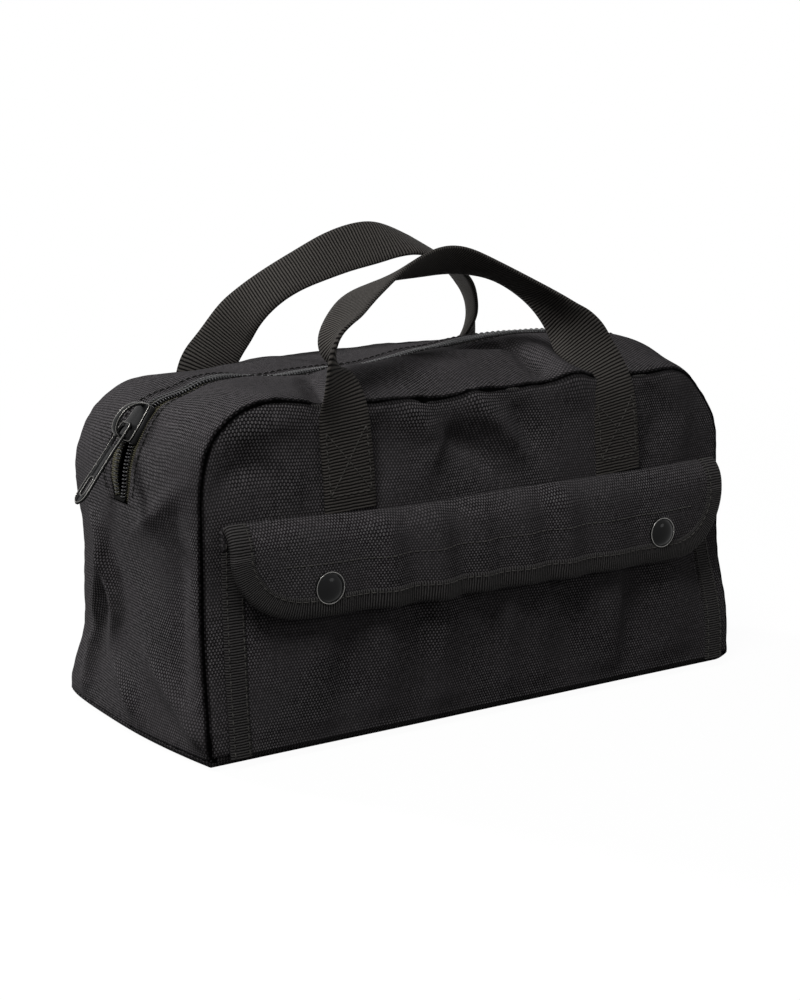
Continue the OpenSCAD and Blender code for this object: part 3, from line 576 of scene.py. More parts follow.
# Bottom.
# One piece of the same duck. Its four edges turn up a little and are sewn
# to the panels and to the ends, so the bag stands on a soft rounded edge.
bottom_in, bottom_end_in = 1.4, 1.2
bottom_y = spaced(-half_deep + bottom_in, half_deep - bottom_in, 3.0, 0.8, 9.0)
bottom_share = spaced(-100, 100, 2.0, 0.4, 5.0) / 100
bottom_x = bottom_share[:, None] * (half_long - bottom_end_in + crown(bottom_y))[None, :]
bottom_yy = np.repeat(bottom_y[None, :], len(bottom_share), axis=0)
to_side = half_deep - bottom_in - np.abs(bottom_yy)
to_end = half_long - bottom_end_in + crown(bottom_yy) - np.abs(bottom_x)
turned_up = 5.4 * np.clip(1 - to_side / 9, 0, 1) ** 2.6
turned_up = np.maximum(turned_up, 4.4 * np.clip(1 - to_end / 6, 0, 1) ** 2.4)
rows = np.stack([bottom_x, bottom_yy, turned_up], axis=-1)
bottom = sheet_mesh("bottom_panel_cloth", settle(rows[::-1], (0, 0, -1), 0.0),
                    np.stack([bottom_x, bottom_yy], axis=-1)[::-1], black_duck)
thicken(bottom, cloth_thick * 0.6)
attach(bottom, "bag")
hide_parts("bottom_panel")

# Ends and top.
# Two ends and, above them, the two long strips beside the zip. They are one
# run of cloth to the eye: it swells outward between the seams, and the
# strips are turned under along the zip.
zip_end, tape_sink = 104.0, 2.1
slider_turn = radians(142)
slider_s = arc_z + shoulder * (pi - slider_turn)
part_top, part_full, part_low = 136.5, 124.54, 112.0
open_aside, end_aside = 2.6, 0.4
end_low, end_seam_z = 4.2, 3.0


def strip(s, y, lift):
    """Unworn point at s round the bag, depth y, lifted off the skin."""
    s, y = np.broadcast_arrays(np.asarray(s, float), np.asarray(y, float))
    x, z, nx, nz = round_the_bag(s)
    high = crown(y) + lift
    out = np.stack([nx, np.zeros_like(nx), nz], axis=-1)
    return np.stack([x + nx * high, y, z + nz * high], axis=-1), out


def zip_aside(s):
    """How far one row of the zip stands aside at s: open on the left end."""
    x, z, nx, nz = round_the_bag(s)
    high = z + nz * swell
    gap = np.interp(high, [zip_end, part_low, part_full, part_top],
                    [end_aside, open_aside, open_aside, 0.0])
    return np.where(np.asarray(s) < round_long / 2, gap, 0.0)


def end_net(side):
    """Left (side -1) or right end, from its foot to where the zip ends."""
    ys = spaced(-half_deep + seam_in, half_deep - seam_in, 2.2, 0.5)
    z = spaced(end_low, zip_end, 2.2)
    s = z if side < 0 else round_long - z
    inside = half_deep - np.abs(ys)[None, :] + 0 * s[:, None]
    inside = np.minimum(inside, z[:, None] - end_seam_z)
    roll = seam_roll(inside - seam_in)
    gather = pucker(s[:, None] + ys[None, :], inside, 21)
    points, out = strip(s[:, None], ys[None, :], gather - roll)
    lie = np.stack(np.broadcast_arrays(ys[None, :], s[:, None]), axis=-1)
    return settle(points, out), lie, seam_shade_share(inside - seam_in)


for side, name in ((-1, "left_end_panel"), (1, "right_end_panel")):
    rows, lie, shade_share = end_net(side)
    if side < 0:
        rows, lie, shade_share = rows[:, ::-1], lie[:, ::-1], shade_share[:, ::-1]
    end = sheet_mesh(name + "_cloth", rows, lie, black_duck, shade_share)
    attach(end, "bag")
    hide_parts(name)

strip_s = np.concatenate([np.arange(zip_end, 200, 1.6), np.arange(200, round_long - zip_end, 2.2),
                          [round_long - zip_end]])


def zip_edge(s, side):
    """Depth of the turned edge of the cloth beside the zip."""
    near = np.exp(-((s - slider_s) / 9) ** 4)
    wide = 2.3 if side > 0 else 1.15
    return 5.0 + zip_aside(s) * wide + 1.6 * near


# The turned edge in section: past the edge of the cloth, and off its skin.
turned_edge = [(1.8, -0.75), (0.9, -0.85), (0.3, -1.1), (0.0, -1.45), (0.3, -1.8), (1.2, -1.95),
               (7.0, -2.0)]


def gusset_net(side):
    """Front (side -1) or back strip, from its seam to its turned edge."""
    across = spaced(0, 100, 3.6, 0.8, 6.0) / 100
    seam_y = half_deep - seam_in
    edge = zip_edge(strip_s, side)
    y = seam_y + (edge + 2.6 - seam_y)[:, None] * across[None, :]
    inside = half_deep - y
    roll = seam_roll(inside - seam_in)
    gather = pucker(strip_s[:, None] + 0 * y, inside, 31)
    sunk = 0.75 * (1 - step(y - edge[:, None], 2.0, 8.0))
    lift = gather - roll - sunk
    y = np.concatenate([y] + [(edge + a)[:, None] for a, b in turned_edge], axis=1)
    lift = np.concatenate([lift] + [np.full((len(edge), 1), b) for a, b in turned_edge], axis=1)
    points, out = strip(strip_s[:, None], side * y, lift)
    lie = np.stack([side * y, np.broadcast_to(strip_s[:, None], y.shape)], axis=-1)
    return settle(points, out), lie, seam_shade_share(half_deep - y - seam_in)


for side, name in ((-1, "front_zip_gusset"), (1, "back_zip_gusset")):
    rows, lie, shade_share = gusset_net(side)
    if side > 0:
        rows, lie, shade_share = rows[::-1], lie[::-1], shade_share[::-1]
    gusset = sheet_mesh(name + "_cloth", rows, lie, black_duck, shade_share)
    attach(gusset, "bag")
    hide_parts(name)

# Seam binding.
# Inside the bag the raw seam edges are wrapped in a folded tape.
fine_pitch = 0.5


def ribbed_tape(name, colour, pitch, crest_light_by=2.2, sheen=0.01):
    """Narrow woven tape with ribs across it."""
    tape = bpy.data.materials.new(name)
    tape.use_nodes = True
    tree = tape.node_tree
    links = tree.links
    look = tree.nodes["Principled BSDF"]
    uv = sockets(tree, "ShaderNodeUVMap", uv_map="cloth")
    parts = tree.nodes.new("ShaderNodeSeparateXYZ")
    links.new(uv.outputs[0], parts.inputs[0])
    wander = sockets(tree, "ShaderNodeTexNoise", Scale=160.0, Detail=2.0)
    links.new(uv.outputs[0], wander.inputs["Vector"])
    along = maths(tree, "MULTIPLY_ADD", wander.outputs["Fac"], 0.0005, parts.outputs[0])
    ribs = ridges(tree, along, 1000 * pi / pitch)
    fine = ridges(tree, parts.outputs[1], 1000 * pi / fine_pitch)
    threads = sockets(tree, "ShaderNodeTexNoise", Scale=1500.0, Detail=2.0)
    links.new(uv.outputs[0], threads.inputs["Vector"])
    # Painted highlight and shade: each rib is lighter on its top and darker in the grooves between ribs.
    gap_shade = tuple(c * 0.12 for c in colour)
    crest_light = tuple(min(1, c * crest_light_by) for c in colour)
    body = blend_colour(tree, grey(tree, ribs, 0.35, 0.98), gap_shade, crest_light)
    body = blend_colour(tree, grey(tree, threads.outputs["Fac"], 0.35, 0.65), body,
                        blend_colour(tree, 1.0, body, (1.5, 1.5, 1.5), "MULTIPLY"))
    links.new(body, look.inputs["Base Color"])
    look.inputs["Roughness"].default_value = 0.7
    look.inputs["Specular IOR Level"].default_value = 0.03
    look.inputs["Sheen Weight"].default_value = sheen
    look.inputs["Sheen Roughness"].default_value = 0.4
    height = maths(tree, "MULTIPLY_ADD", maths(tree, "MULTIPLY", fine, threads.outputs["Fac"]), 0.3, ribs)
    bump = sockets(tree, "ShaderNodeBump", Strength=0.8, Distance=0.00032)
    links.new(height, bump.inputs["Height"])
    links.new(bump.outputs[0], look.inputs["Normal"])
    return tape


binding_tape = ribbed_tape("binding_tape", (0.0138, 0.0131, 0.0129), 1.15, 2.6)
inner_s = np.arange(8.0, round_long - 8.0, 3.0)
inner_section = np.array([(63.2, -9.6), (63.4, -2.6), (62.6, -2.1), (61.7, -2.6), (61.5, -9.6),
                          (62.3, -10.1), (63.2, -9.6)])
for side, name in ((-1, "front_seam_binding"), (1, "back_seam_binding")):
    points, out = strip(inner_s[:, None], side * inner_section[None, :, 0],
                        inner_section[None, :, 1] - crown(63.0))
    lie = np.stack(np.broadcast_arrays(inner_s[:, None], inner_section[None, :, 1]), axis=-1)
    rows = settle(points, out, 0.0)
    if side < 0:
        rows, lie = rows[::-1], lie[::-1]
    bound = sheet_mesh(name + "_tape", rows, lie, binding_tape)
    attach(bound, "bag")
    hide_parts(name)

# Zip.
# A coil zip: two woven tapes under the turned edges of the cloth, and on the
# edge of each a wound filament whose turns lock into those of the other row.
zip_weave = ribbed_tape("zip_weave", (0.030, 0.028, 0.018), pitch=0.8, sheen=0.04)
for side, name in ((-1, "front_zip_tape"), (1, "back_zip_tape")):
    aside = zip_aside(strip_s)
    widths = np.array([1.7, 2.4, 3.4, 5.0, 7.5, 10.0, 15.0])
    y = widths[None, :] + aside[:, None] * np.linspace(1, 0, len(widths))[None, :] ** 0.5
    points, out = strip(strip_s[:, None], side * y, -tape_sink + 0 * y)
    lie = np.stack([np.broadcast_to(strip_s[:, None], y.shape), y], axis=-1)
    rows = settle(points, out)
    if side > 0:
        rows, lie = rows[::-1], lie[::-1]
    tape = sheet_mesh(name + "_weave", rows, lie, zip_weave)
    thicken(tape, 0.7)
    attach(tape, "bag")
    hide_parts(name)


def round_rod(path, radius, sides=6):
    """Points and faces of a thin rod with closed ends along a path."""
    path = np.asarray(path, float)
    ways = np.gradient(path, axis=0)
    ways /= np.linalg.norm(ways, axis=1)[:, None]
    points, faces = [], []
    side_way = None
    for i, (p, t) in enumerate(zip(path, ways)):
        if side_way is None:
            side_way = np.cross(t, (0.31, 0.52, 0.79))
        side_way = side_way - t * (side_way @ t)
        side_way /= np.linalg.norm(side_way)
        other = np.cross(t, side_way)
        r = radius[i] if hasattr(radius, "__len__") else radius
        for k in range(sides):
            a = 2 * pi * k / sides
            points.append(p + r * (cos(a) * side_way + sin(a) * other))
        if i:
            for k in range(sides):
                m = (k + 1) % sides
                faces.append(((i - 1) * sides + k, (i - 1) * sides + m, i * sides + m, i * sides + k))
    last = (len(path) - 1) * sides
    faces.append(tuple(range(sides))[::-1])
    faces.append(tuple(last + k for k in range(sides)))
    return points, faces


def many(name, parts, finish):
    """One mesh from many small ones, each (points, faces)."""
    points, faces = [], []
    for some, theirs in parts:
        start = len(points)
        points += [tuple(p) for p in some]
        faces += [tuple(start + i for i in face) for face in theirs]
    mesh = bpy.data.meshes.new(name)
    mesh.from_pydata([(x / 1000, y / 1000, z / 1000) for x, y, z in points], [], faces)
    return smooth_piece(name, mesh, finish)


def glossy(name, colour, rough, grain=900.0, bump_high=0.00003, metallic=0.0, shine=0.5):
    """Smooth painted or moulded finish with a little unevenness and wear."""
    paint = bpy.data.materials.new(name)
    paint.use_nodes = True
    tree = paint.node_tree
    look = tree.nodes["Principled BSDF"]
    place = tree.nodes.new("ShaderNodeTexCoord")
    cloud = sockets(tree, "ShaderNodeTexNoise", Scale=grain, Detail=3.0)
    tree.links.new(place.outputs["Object"], cloud.inputs["Vector"])
    wear = sockets(tree, "ShaderNodeTexNoise", Scale=grain / 6, Detail=4.0)
    tree.links.new(place.outputs["Object"], wear.inputs["Vector"])
    rubbed = tuple(min(1, c * 1.8) for c in colour)
    tree.links.new(blend_colour(tree, grey(tree, wear.outputs["Fac"], 0.45, 0.75), colour, rubbed),
                   look.inputs["Base Color"])
    tree.links.new(maths(tree, "MULTIPLY_ADD", wear.outputs["Fac"], 0.16, rough - 0.08),
                   look.inputs["Roughness"])
    look.inputs["Metallic"].default_value = metallic
    look.inputs["Specular IOR Level"].default_value = shine
    bump = sockets(tree, "ShaderNodeBump", Strength=0.4, Distance=bump_high)
    tree.links.new(cloud.outputs["Fac"], bump.inputs["Height"])
    tree.links.new(bump.outputs[0], look.inputs["Normal"])
    return paint


filament = glossy("filament", (0.006, 0.006, 0.0065), 0.14, shine=0.35)
turn_pitch, filament_r = 1.32, 0.43
# One turn of the coil: place along the tape, depth, and height off the skin.
turn_shape = np.array([(0.0, 3.1, -1.6), (0.02, 3.4, -0.8), (0.06, 2.9, -0.12), (0.14, 1.9, 0.06),
                       (0.24, 0.9, -0.1), (0.32, 0.1, -0.5), (0.36, -0.3, -1.0), (0.4, 0.2, -1.5)])
for side, name in ((-1, "front_zip_coil"), (1, "back_zip_coil")):
    starts = np.arange(zip_end + 2.6, round_long - zip_end - 2.6, turn_pitch)
    starts = starts + (turn_pitch / 2 if side > 0 else 0)
    s = starts[:, None] + turn_shape[None, :, 0] * (1 if side > 0 else -1)
    aside = zip_aside(s)
    tucked = np.where(aside > 0.05, np.maximum(turn_shape[None, :, 1], 0.25), turn_shape[None, :, 1])
    y = tucked + aside
    points, out = strip(s, side * y, turn_shape[None, :, 2] + 0 * s)
    rods = settle(points, out)
    coil = many(name + "_turns", [round_rod(rod, filament_r, 5) for rod in rods], filament)
    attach(coil, "bag")
    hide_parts(name)

# Sewing.
# Twisted black thread. Each row is lockstitch: short raised stitches with a
# small gap where the thread goes down into the cloth.
thread = glossy("thread", (0.008, 0.0078, 0.0075), 0.7, grain=3000.0, bump_high=0.00008, shine=0.05)
# Painted highlight: the same black thread, painted lighter where the stitches on the bindings and anchors
# catch the light.
light_catch_thread = glossy("light_catch_thread", (0.031, 0.0295, 0.027), 0.6, grain=3000.0, bump_high=0.00008, shine=0.1)


def run_of(path):
    """Distance along a path to each of its points."""
    steps = np.linalg.norm(np.diff(path, axis=0), axis=1)
    return np.concatenate([[0], np.cumsum(steps)])


stitch_long, stitch_gap = 2.5, 0.75
stitch_lift = np.array([-0.25, 0.12, 0.2, 0.12, -0.25])


def stitches(path, out, thread_r=0.27):
    """Raised stitches along a path of settled points in millimetres."""
    path, out = np.asarray(path, float), np.asarray(out, float)
    run = run_of(path)
    thick = [thread_r * 0.7, thread_r, thread_r, thread_r, thread_r * 0.7]
    parts = []
    count = max(1, int(run[-1] / (stitch_long + stitch_gap)))
    pitch = run[-1] / count
    for i in range(count):
        a = i * pitch + stitch_gap * pitch / (stitch_long + stitch_gap) / 2
        b = (i + 1) * pitch - stitch_gap * pitch / (stitch_long + stitch_gap) / 2
        at = np.linspace(a, b, 5)
        p = np.stack([np.interp(at, run, path[:, k]) for k in range(3)], axis=1)
        n = np.stack([np.interp(at, run, out[:, k]) for k in range(3)], axis=1)
        n /= np.linalg.norm(n, axis=1)[:, None]
        parts.append(round_rod(p + n * stitch_lift[:, None], thick, 5))
    return parts


def sewn(name, parts, body="bag", finish=thread):
    row = many(name, parts, finish)
    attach(row, body)
    return row


top_rows = []
for side in (-1, 1):
    s = np.arange(zip_end + 3, round_long - zip_end - 3, 1.5)
    y = zip_edge(s, side) + 5.6
    points, out = strip(s, side * y, 0.0)
    top_rows += stitches(settle(points, out), out)
sewn("zip_top_stitching", top_rows)

tack_reach, tack_lift = np.array([-1.3, 0.0, 1.3]), np.array([-1.2, 0.1, -1.2])
tack_parts = []
for end_s in (zip_end + 0.9, round_long - zip_end - 0.9):
    for y in np.arange(-4.3, 4.4, 0.62):
        points, out = strip(end_s + tack_reach, np.full(3, y), tack_lift)
        tack_parts.append(round_rod(settle(points, out), 0.33, 5))
tacks = many("zip_end_tacks_thread", tack_parts, thread)
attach(tacks, "bag")
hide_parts("zip_end_tacks")

# Tool pocket.
# A wide pocket of the same duck on the front, sewn down in rows from its
# mouth to its foot, so it makes six slots that stand a little open.
pocket_half, pocket_low, pocket_high, pocket_off = 133.0, 8.5, 88.0, 1.25
pocket_rows = np.array([-123, -76, -38, 0, 38, 76, 123], float)


def smooth_line(points, count):
    """Even points on a smooth curve through the given ones."""
    points = np.asarray(points, float)
    around = np.concatenate([[2 * points[0] - points[1]], points, [2 * points[-1] - points[-2]]])
    fine = []
    for i in range(1, len(around) - 2):
        a, b, c, d = around[i - 1:i + 3]
        t = np.linspace(0, 1, 24, endpoint=False)[:, None]
        fine.append(0.5 * (2 * b + (c - a) * t + (2 * a - 5 * b + 4 * c - d) * t**2
                           + (3 * b - a - 3 * c + d) * t**3))
    fine = np.concatenate(fine + [points[-1:]])
    run = run_of(fine)
    at = np.linspace(0, run[-1], count)
    return np.stack([np.interp(at, run, fine[:, k]) for k in range(points.shape[1])], axis=1)


# Height of the slots' soft folds off the panel, at places along the pocket.
pocket_folds = np.array([
    (-133, 0.0), (-123, 0.0), (-112, 1.6), (-101, 2.9), (-88, 4.7), (-79, 1.6), (-75, 1.0),
    (-68, 2.3), (-57, 4.7), (-46, 2.5), (-38, 1.6), (-28, 4.9), (-15, 2.1), (-2, 1.3), (7, 3.8),
    (17, 2.6), (27, 3.9), (38, 1.6), (46, 1.6), (57, 3.8), (68, 6.0), (75, 0.8), (81, 1.0),
    (90, 3.1), (104, 4.4), (115, 2.1), (123, 0.0), (133, 0.0)], float)
fold_line = smooth_line(pocket_folds, 400)


def pocket_bulge(x, z):
    """How far the pocket stands off the panel between its sewn rows."""
    x, z = np.broadcast_arrays(np.asarray(x, float), np.asarray(z, float))
    leaning = x + (z - 40) * 0.05
    high = np.interp(leaning, fold_line[:, 0], fold_line[:, 1])
    edges = step(pocket_half - 8 - np.abs(x), 0, 6)
    return high * edges * (0.3 + 0.7 * step(z, pocket_low, 45)) * step(z, 6, 16)


def on_pocket(x, z, lift=0.0):
    """Settled points of the pocket's outer face, whose two sides are drawn in."""
    x, z = np.broadcast_arrays(np.asarray(x, float), np.asarray(z, float))
    y = -half_deep - pocket_off - pocket_bulge(x, z) - lift
    edge_x = x - 3.6 * step(x, 90, 133) * step(z, 20, 75) + 2.4 * step(-x, 90, 133)
    return settle(np.stack([edge_x, y, z], axis=-1), (0, -1, 0), 0.6)


pocket_x = np.linspace(-pocket_half, pocket_half, 141)
pocket_z = np.concatenate([[5.5, 6.5, 7.5], np.arange(pocket_low, pocket_high + 0.1, 2.0)])
px, pz = np.meshgrid(pocket_x, pocket_z, indexing="ij")
pocket = sheet_mesh("tool_pocket_cloth", on_pocket(px, pz), np.stack([px, pz], axis=-1), black_duck)
thicken(pocket, 1.0)
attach(pocket, "bag")
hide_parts("tool_pocket")

pocket_sewing = []
for x in pocket_rows:
    z = np.arange(pocket_low + 1, pocket_high - 1, 1.5)
    path = on_pocket(x + 0 * z, z, -0.3)
    pocket_sewing += stitches(path, np.broadcast_to((0.0, -1.0, 0.0), path.shape), thread_r=0.2)
sewn("pocket_stitching", pocket_sewing)

# Bindings of the pocket.
# Grosgrain tape is folded over the pocket's mouth and covers its two sides,
# and the sides are sewn along both edges.


def tape_net(path, inward, widths, lifts, on_cloth):
    """Tape along a path of (x, z) places, reaching inward over the cloth."""
    path, inward = np.asarray(path, float), np.asarray(inward, float)
    at = path[:, None, :] + inward[:, None, :] * np.asarray(widths)[None, :, None]
    return on_cloth(at[..., 0], at[..., 1], np.asarray(lifts)[None, :] + 0 * at[..., 0])


tape_widths = [-0.2, 0.3, 1.2, 3.3, 5.0, 6.7, 8.8, 9.7, 10.0]
tape_lifts = [-0.3, 0.35, 0.6, 0.68, 0.7, 0.68, 0.6, 0.35, -0.3]

edge_rows = []
for side, name in ((-1, "pocket_left_binding"), (1, "pocket_right_binding")):
    z = np.arange(5.0, pocket_high + 8, 1.5)
    path = np.stack([np.full_like(z, side * pocket_half), z], axis=-1)
    inward = np.broadcast_to((-side, 0.0), path.shape)
    rows = tape_net(path, inward, tape_widths, tape_lifts, on_pocket)
    lie = np.stack(np.broadcast_arrays(run_of(path)[:, None], np.array(tape_widths)[None, :]), axis=-1)
    if side > 0:
        rows, lie = rows[::-1], lie[::-1]
    bound = sheet_mesh(name + "_tape", rows[::-1], lie[::-1], binding_tape)
    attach(bound, "bag")
    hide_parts(name)
    for inset in (1.5, 8.5):
        row = on_pocket(side * (pocket_half - inset) + 0 * z, z, 0.62)
        edge_rows += stitches(row, np.broadcast_to((0.0, -1.0, 0.0), row.shape))

x = np.arange(-123, 123.1, 1.5)
path = np.stack([x, np.full_like(x, pocket_high)], axis=-1)
rows = tape_net(path, np.broadcast_to((0.0, -1.0), path.shape), tape_widths, tape_lifts, on_pocket)
lie = np.stack(np.broadcast_arrays(x[:, None], np.array(tape_widths)[None, :]), axis=-1)
mouth = sheet_mesh("pocket_mouth_binding_tape", rows[::-1], lie[::-1], binding_tape)
thicken(mouth, 0.5)
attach(mouth, "bag")
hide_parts("pocket_mouth_binding")
sewn("pocket_binding_stitching", edge_rows, finish=light_catch_thread)

# Flap.
# A duck flap is sewn flat above the pocket with its hem behind, folds over,
# and hangs down in front of the slots with rounded lower corners.
flap_half, flap_low, flap_round, flap_thick = 131.0, 57.5, 32.0, 2.0
hang_y = -74.95
snap_x, snap_z = 89.0, 73.4
flap_section = np.array([(-74.9, 57.0), (hang_y, 66), (-75.0, 76), (-75.0, 85), (-74.5, 92.6),
                         (-72.8, 97.0), (-70.3, 99.9), (-68.2, 100.8), (-66.6, 100.2),
                         (-66.0, 98.0), (-65.9, 91.5)])
flap_line = smooth_line(flap_section, 200)
flap_run = run_of(flap_line)
flap_way = np.gradient(flap_line, axis=0)
flap_way /= np.linalg.norm(flap_way, axis=1)[:, None]

# How far the flap's soft waves stand out, at places along the bag.
flap_folds = smooth_line([
    (-131, 0.0), (-112, -0.6), (-89, 0.3), (-72, -1.2), (-59, 1.8), (-47, -1.4), (-34, 2.2),
    (-22, -2.1), (-11, 0.2), (-1, -1.7), (12, 0.9), (23, -0.9), (34, 1.8), (46, -0.9), (60, 0.8),
    (76, -0.8), (89, 0.0), (112, 0.6), (131, 0.0)], 300)


def on_flap(x, a, lift=0.0):
    """Settled points of the flap: x along the bag, a up the cloth from its
    lower edge, lift outward from the middle of the cloth."""
    x, a = np.broadcast_arrays(np.asarray(x, float), np.asarray(a, float))
    at = a - flap_low
    y, z = (np.interp(at, flap_run, flap_line[:, k]) for k in range(2))
    wy, wz = (np.interp(at, flap_run, flap_way[:, k]) for k in range(2))
    low_edge = 1 - np.clip((z - flap_low) / 34, 0, 1)
    z = z + (3.4 - 0.009 * x) * low_edge
    hang = step(-y, 68.0, 74.0)
    wave = np.interp(x + (z - 76) * 0.12, flap_folds[:, 0], flap_folds[:, 1])
    curl = 1.1 * np.clip(1 - (z - flap_low) / 22, 0, 1) ** 2
    pressed = np.exp(-((np.hypot(np.abs(x) - snap_x, z - snap_z) / 13) ** 4))
    out = lift + hang * (wave * (1 - pressed) - curl)
    p = settle(np.stack([x, y - wz * out, z + wy * out], axis=-1), (0, -1, 0), 0.0)
    flat_y = hang_y - lift
    p[..., 1] += (flat_y - p[..., 1]) * pressed * hang
    return p


def flap_edge(x):
    """Height of the flap's lower edge at x, with its rounded corners."""
    past = np.clip(np.abs(x) - (flap_half - flap_round), 0, flap_round)
    return flap_low + flap_round - np.sqrt(flap_round**2 - past**2)


flap_x = spaced(-flap_half + 0.2, flap_half - 0.2, 2.1, 0.6, 5.0)
flap_top = flap_low + flap_run[-1]
share = np.linspace(0, 1, 44)
fx = np.repeat(flap_x[:, None], len(share), axis=1)
fa = flap_edge(flap_x)[:, None] + (flap_top - flap_edge(flap_x))[:, None] * share[None, :]
flap = sheet_mesh("pocket_flap_cloth", on_flap(fx, fa), np.stack([fx, fa], axis=-1), black_duck)
thicken(flap, flap_thick, 0.0)
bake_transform(flap)
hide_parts("pocket_flap", "flap_hem")

# Flap binding.
# The same grosgrain is folded over the flap's free edge, down one side,
# round the corners and up the other, and sewn through near its inner edge.
corner = np.linspace(0, pi / 2, 26)
side_up = np.arange(0, 15, 1.4)
left_edge = [(-flap_half, flap_low + flap_round + a) for a in side_up[::-1]]
left_corner = [(-flap_half + flap_round - flap_round * cos(a), flap_low + flap_round - flap_round * sin(a))
               for a in corner]
bottom_edge = [(x, flap_low)
               for x in np.arange(-flap_half + flap_round + 1.6, flap_half - flap_round - 1, 1.6)]
right_corner = [(-x, z) for x, z in left_corner[::-1]]
right_edge = [(-x, z) for x, z in left_edge[::-1]]
edge_path = np.array(left_edge + left_corner + bottom_edge + right_corner + right_edge)
edge_in = np.array([(1.0, 0.0)] * len(left_edge) + [(cos(a), sin(a)) for a in corner]
                   + [(0.0, 1.0)] * len(bottom_edge) + [(-cos(a), sin(a)) for a in corner[::-1]]
                   + [(-1.0, 0.0)] * len(right_edge))
fold_widths = [10.0, 9.7, 8.8, 6.5, 4.0, 1.5, 0.3, -0.35, -0.55, -0.35, 0.3, 1.5, 4.0, 8.8, 9.7, 10.0]
fold_lifts = [0.9, 1.5, 1.65, 1.72, 1.72, 1.7, 1.35, 0.8, 0.0, -0.8, -1.35, -1.7, -1.72, -1.65, -1.5, -0.9]
rows = tape_net(edge_path, edge_in, fold_widths, fold_lifts, on_flap)
lie = np.stack(np.broadcast_arrays(run_of(edge_path)[:, None], -np.array(fold_widths)[None, :]), axis=-1)
binding = sheet_mesh("flap_binding_tape", rows[::-1], lie[::-1], binding_tape)
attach(binding, "flap")
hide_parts("flap_binding")

edge_inset, cross_row_up = 8.2, 82.6
line = edge_path + edge_in * edge_inset
edge_row = on_flap(line[:, 0], line[:, 1], max(fold_lifts))
x = np.arange(-108, 111, 2.0)
cross_row = on_flap(x, cross_row_up + 0 * x, 1.02)
flap_rows = []
for row in (edge_row, cross_row):
    flap_rows += stitches(row, np.broadcast_to((0.0, -1.0, 0.0), row.shape))
flap_sewing = sewn("flap_stitching", flap_rows, "flap", light_catch_thread)

# Snaps.
# Two press snaps. A black enamelled cap with a rolled rim is riveted through
# the flap to its socket, and a stud with its post stands on the pocket.
enamel = glossy("black_enamel", (0.004, 0.004, 0.0042), 0.12, grain=500.0, shine=0.1)
bare_snap = glossy("snap_metal", (0.16, 0.157, 0.15), 0.3, grain=900.0, metallic=1.0)


def turned(name, profile, face, finish):
    """Both snaps' like pieces, each turned round its own line along y: the
    profile is (radius, distance out of the face)."""
    sides = 40
    parts = []
    for x in (-snap_x, snap_x):
        points = [(x + r * cos(2 * pi * k / sides), face - out, snap_z + r * sin(2 * pi * k / sides))
                  for r, out in profile for k in range(sides)]
        faces = [(i * sides + k, i * sides + (k + 1) % sides, (i + 1) * sides + (k + 1) % sides,
                  (i + 1) * sides + k) for i in range(len(profile) - 1) for k in range(sides)]
        faces += [tuple(range(sides))[::-1], tuple((len(profile) - 1) * sides + k for k in range(sides))]
        parts.append((points, faces))
    return many(name, parts, finish)


cap_profile = [(6.0, -0.1), (6.6, -0.15), (6.85, 0.1), (6.85, 0.7), (6.7, 1.0), (6.4, 1.15), (6.1, 1.0),
               (5.95, 1.08), (5.6, 1.5), (4.9, 2.05), (3.8, 2.5), (2.6, 2.8), (1.3, 2.96), (0.3, 3.0)]
socket_profile = [(5.9, 0.0), (6.0, 0.4), (5.8, 0.9), (5.0, 1.1), (4.4, 1.2), (4.2, 1.9), (3.9, 2.3),
                  (3.2, 2.4), (2.7, 2.2), (2.6, 0.9), (0.3, 0.8)]
stud_profile = [(5.6, 0.0), (5.7, 0.35), (5.3, 0.6), (2.9, 0.8), (2.3, 1.1), (2.1, 1.9), (2.35, 2.4),
                (2.2, 2.8), (1.6, 3.0), (0.3, 3.05)]
post_profile = [(4.8, 0.0), (4.9, 0.3), (4.6, 0.6), (2.2, 0.75), (0.3, 0.8)]
flap_face = hang_y - flap_thick / 2
for node, profile, body, outward, finish in (
        ("snap_caps", cap_profile, "flap", 1, enamel),
        ("snap_sockets", socket_profile, "flap", -1, bare_snap),
        ("snap_studs", stud_profile, "bag", 1, bare_snap),
        ("snap_posts", post_profile, "bag", -1, bare_snap)):
    low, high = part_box(node)
    face, tip = (high[1] * 1000, low[1] * 1000) if outward > 0 else (low[1] * 1000, high[1] * 1000)
    if node == "snap_caps":
        face = flap_face
    reach = profile[-1][1]
    sized = [(r, out * abs(tip - face) / reach * outward) for r, out in profile]
    piece = turned(node + "_turned", sized if outward > 0 else sized[::-1], face, finish)
    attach(piece, body)
    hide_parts(node)

# A bright metal ring on the crown of each cap's rolled rim is a painted highlight.
glint_r, glint_out = 6.6, 1.0
turn = np.linspace(0, 2 * pi, 45)
glint_parts = []
for x in (-snap_x, snap_x):
    ring = np.stack([x + glint_r * np.cos(turn), 0 * turn + flap_face - glint_out,
                     snap_z + glint_r * np.sin(turn)], axis=1)
    glint_parts.append(round_rod(ring, 0.2, 6))
rim_glints = many("snap_cap_rim_glints", glint_parts, bare_snap)
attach(rim_glints, "flap")

# Slider and pull tab.
# The slider is a die-cast body in black enamel; thin bright metal rods along its edges are painted
# highlights.
# The long tab hangs by its loop from the arched bridge over the body.
slider_at = np.array([-134.3, 0.0, 134.2])
along_zip, off_zip = np.array([0.616, 0.0, 0.788]), np.array([-0.788, 0.0, 0.616])
die_cast = glossy("die_cast_enamel", (0.008, 0.008, 0.0082), 0.3, grain=700.0, shine=0.04)
edge_glint_metal = glossy("edge_glint_metal", (0.22, 0.215, 0.20), 0.3, grain=900.0, metallic=1.0)


def by_slider(points):
    """Places points given along the zip, across it and off the cloth."""
    points = np.asarray(points, float)
    return (slider_at + points[:, :1] * along_zip + points[:, 1:2] * np.array([0.0, 1.0, 0.0])
            + points[:, 2:] * off_zip)


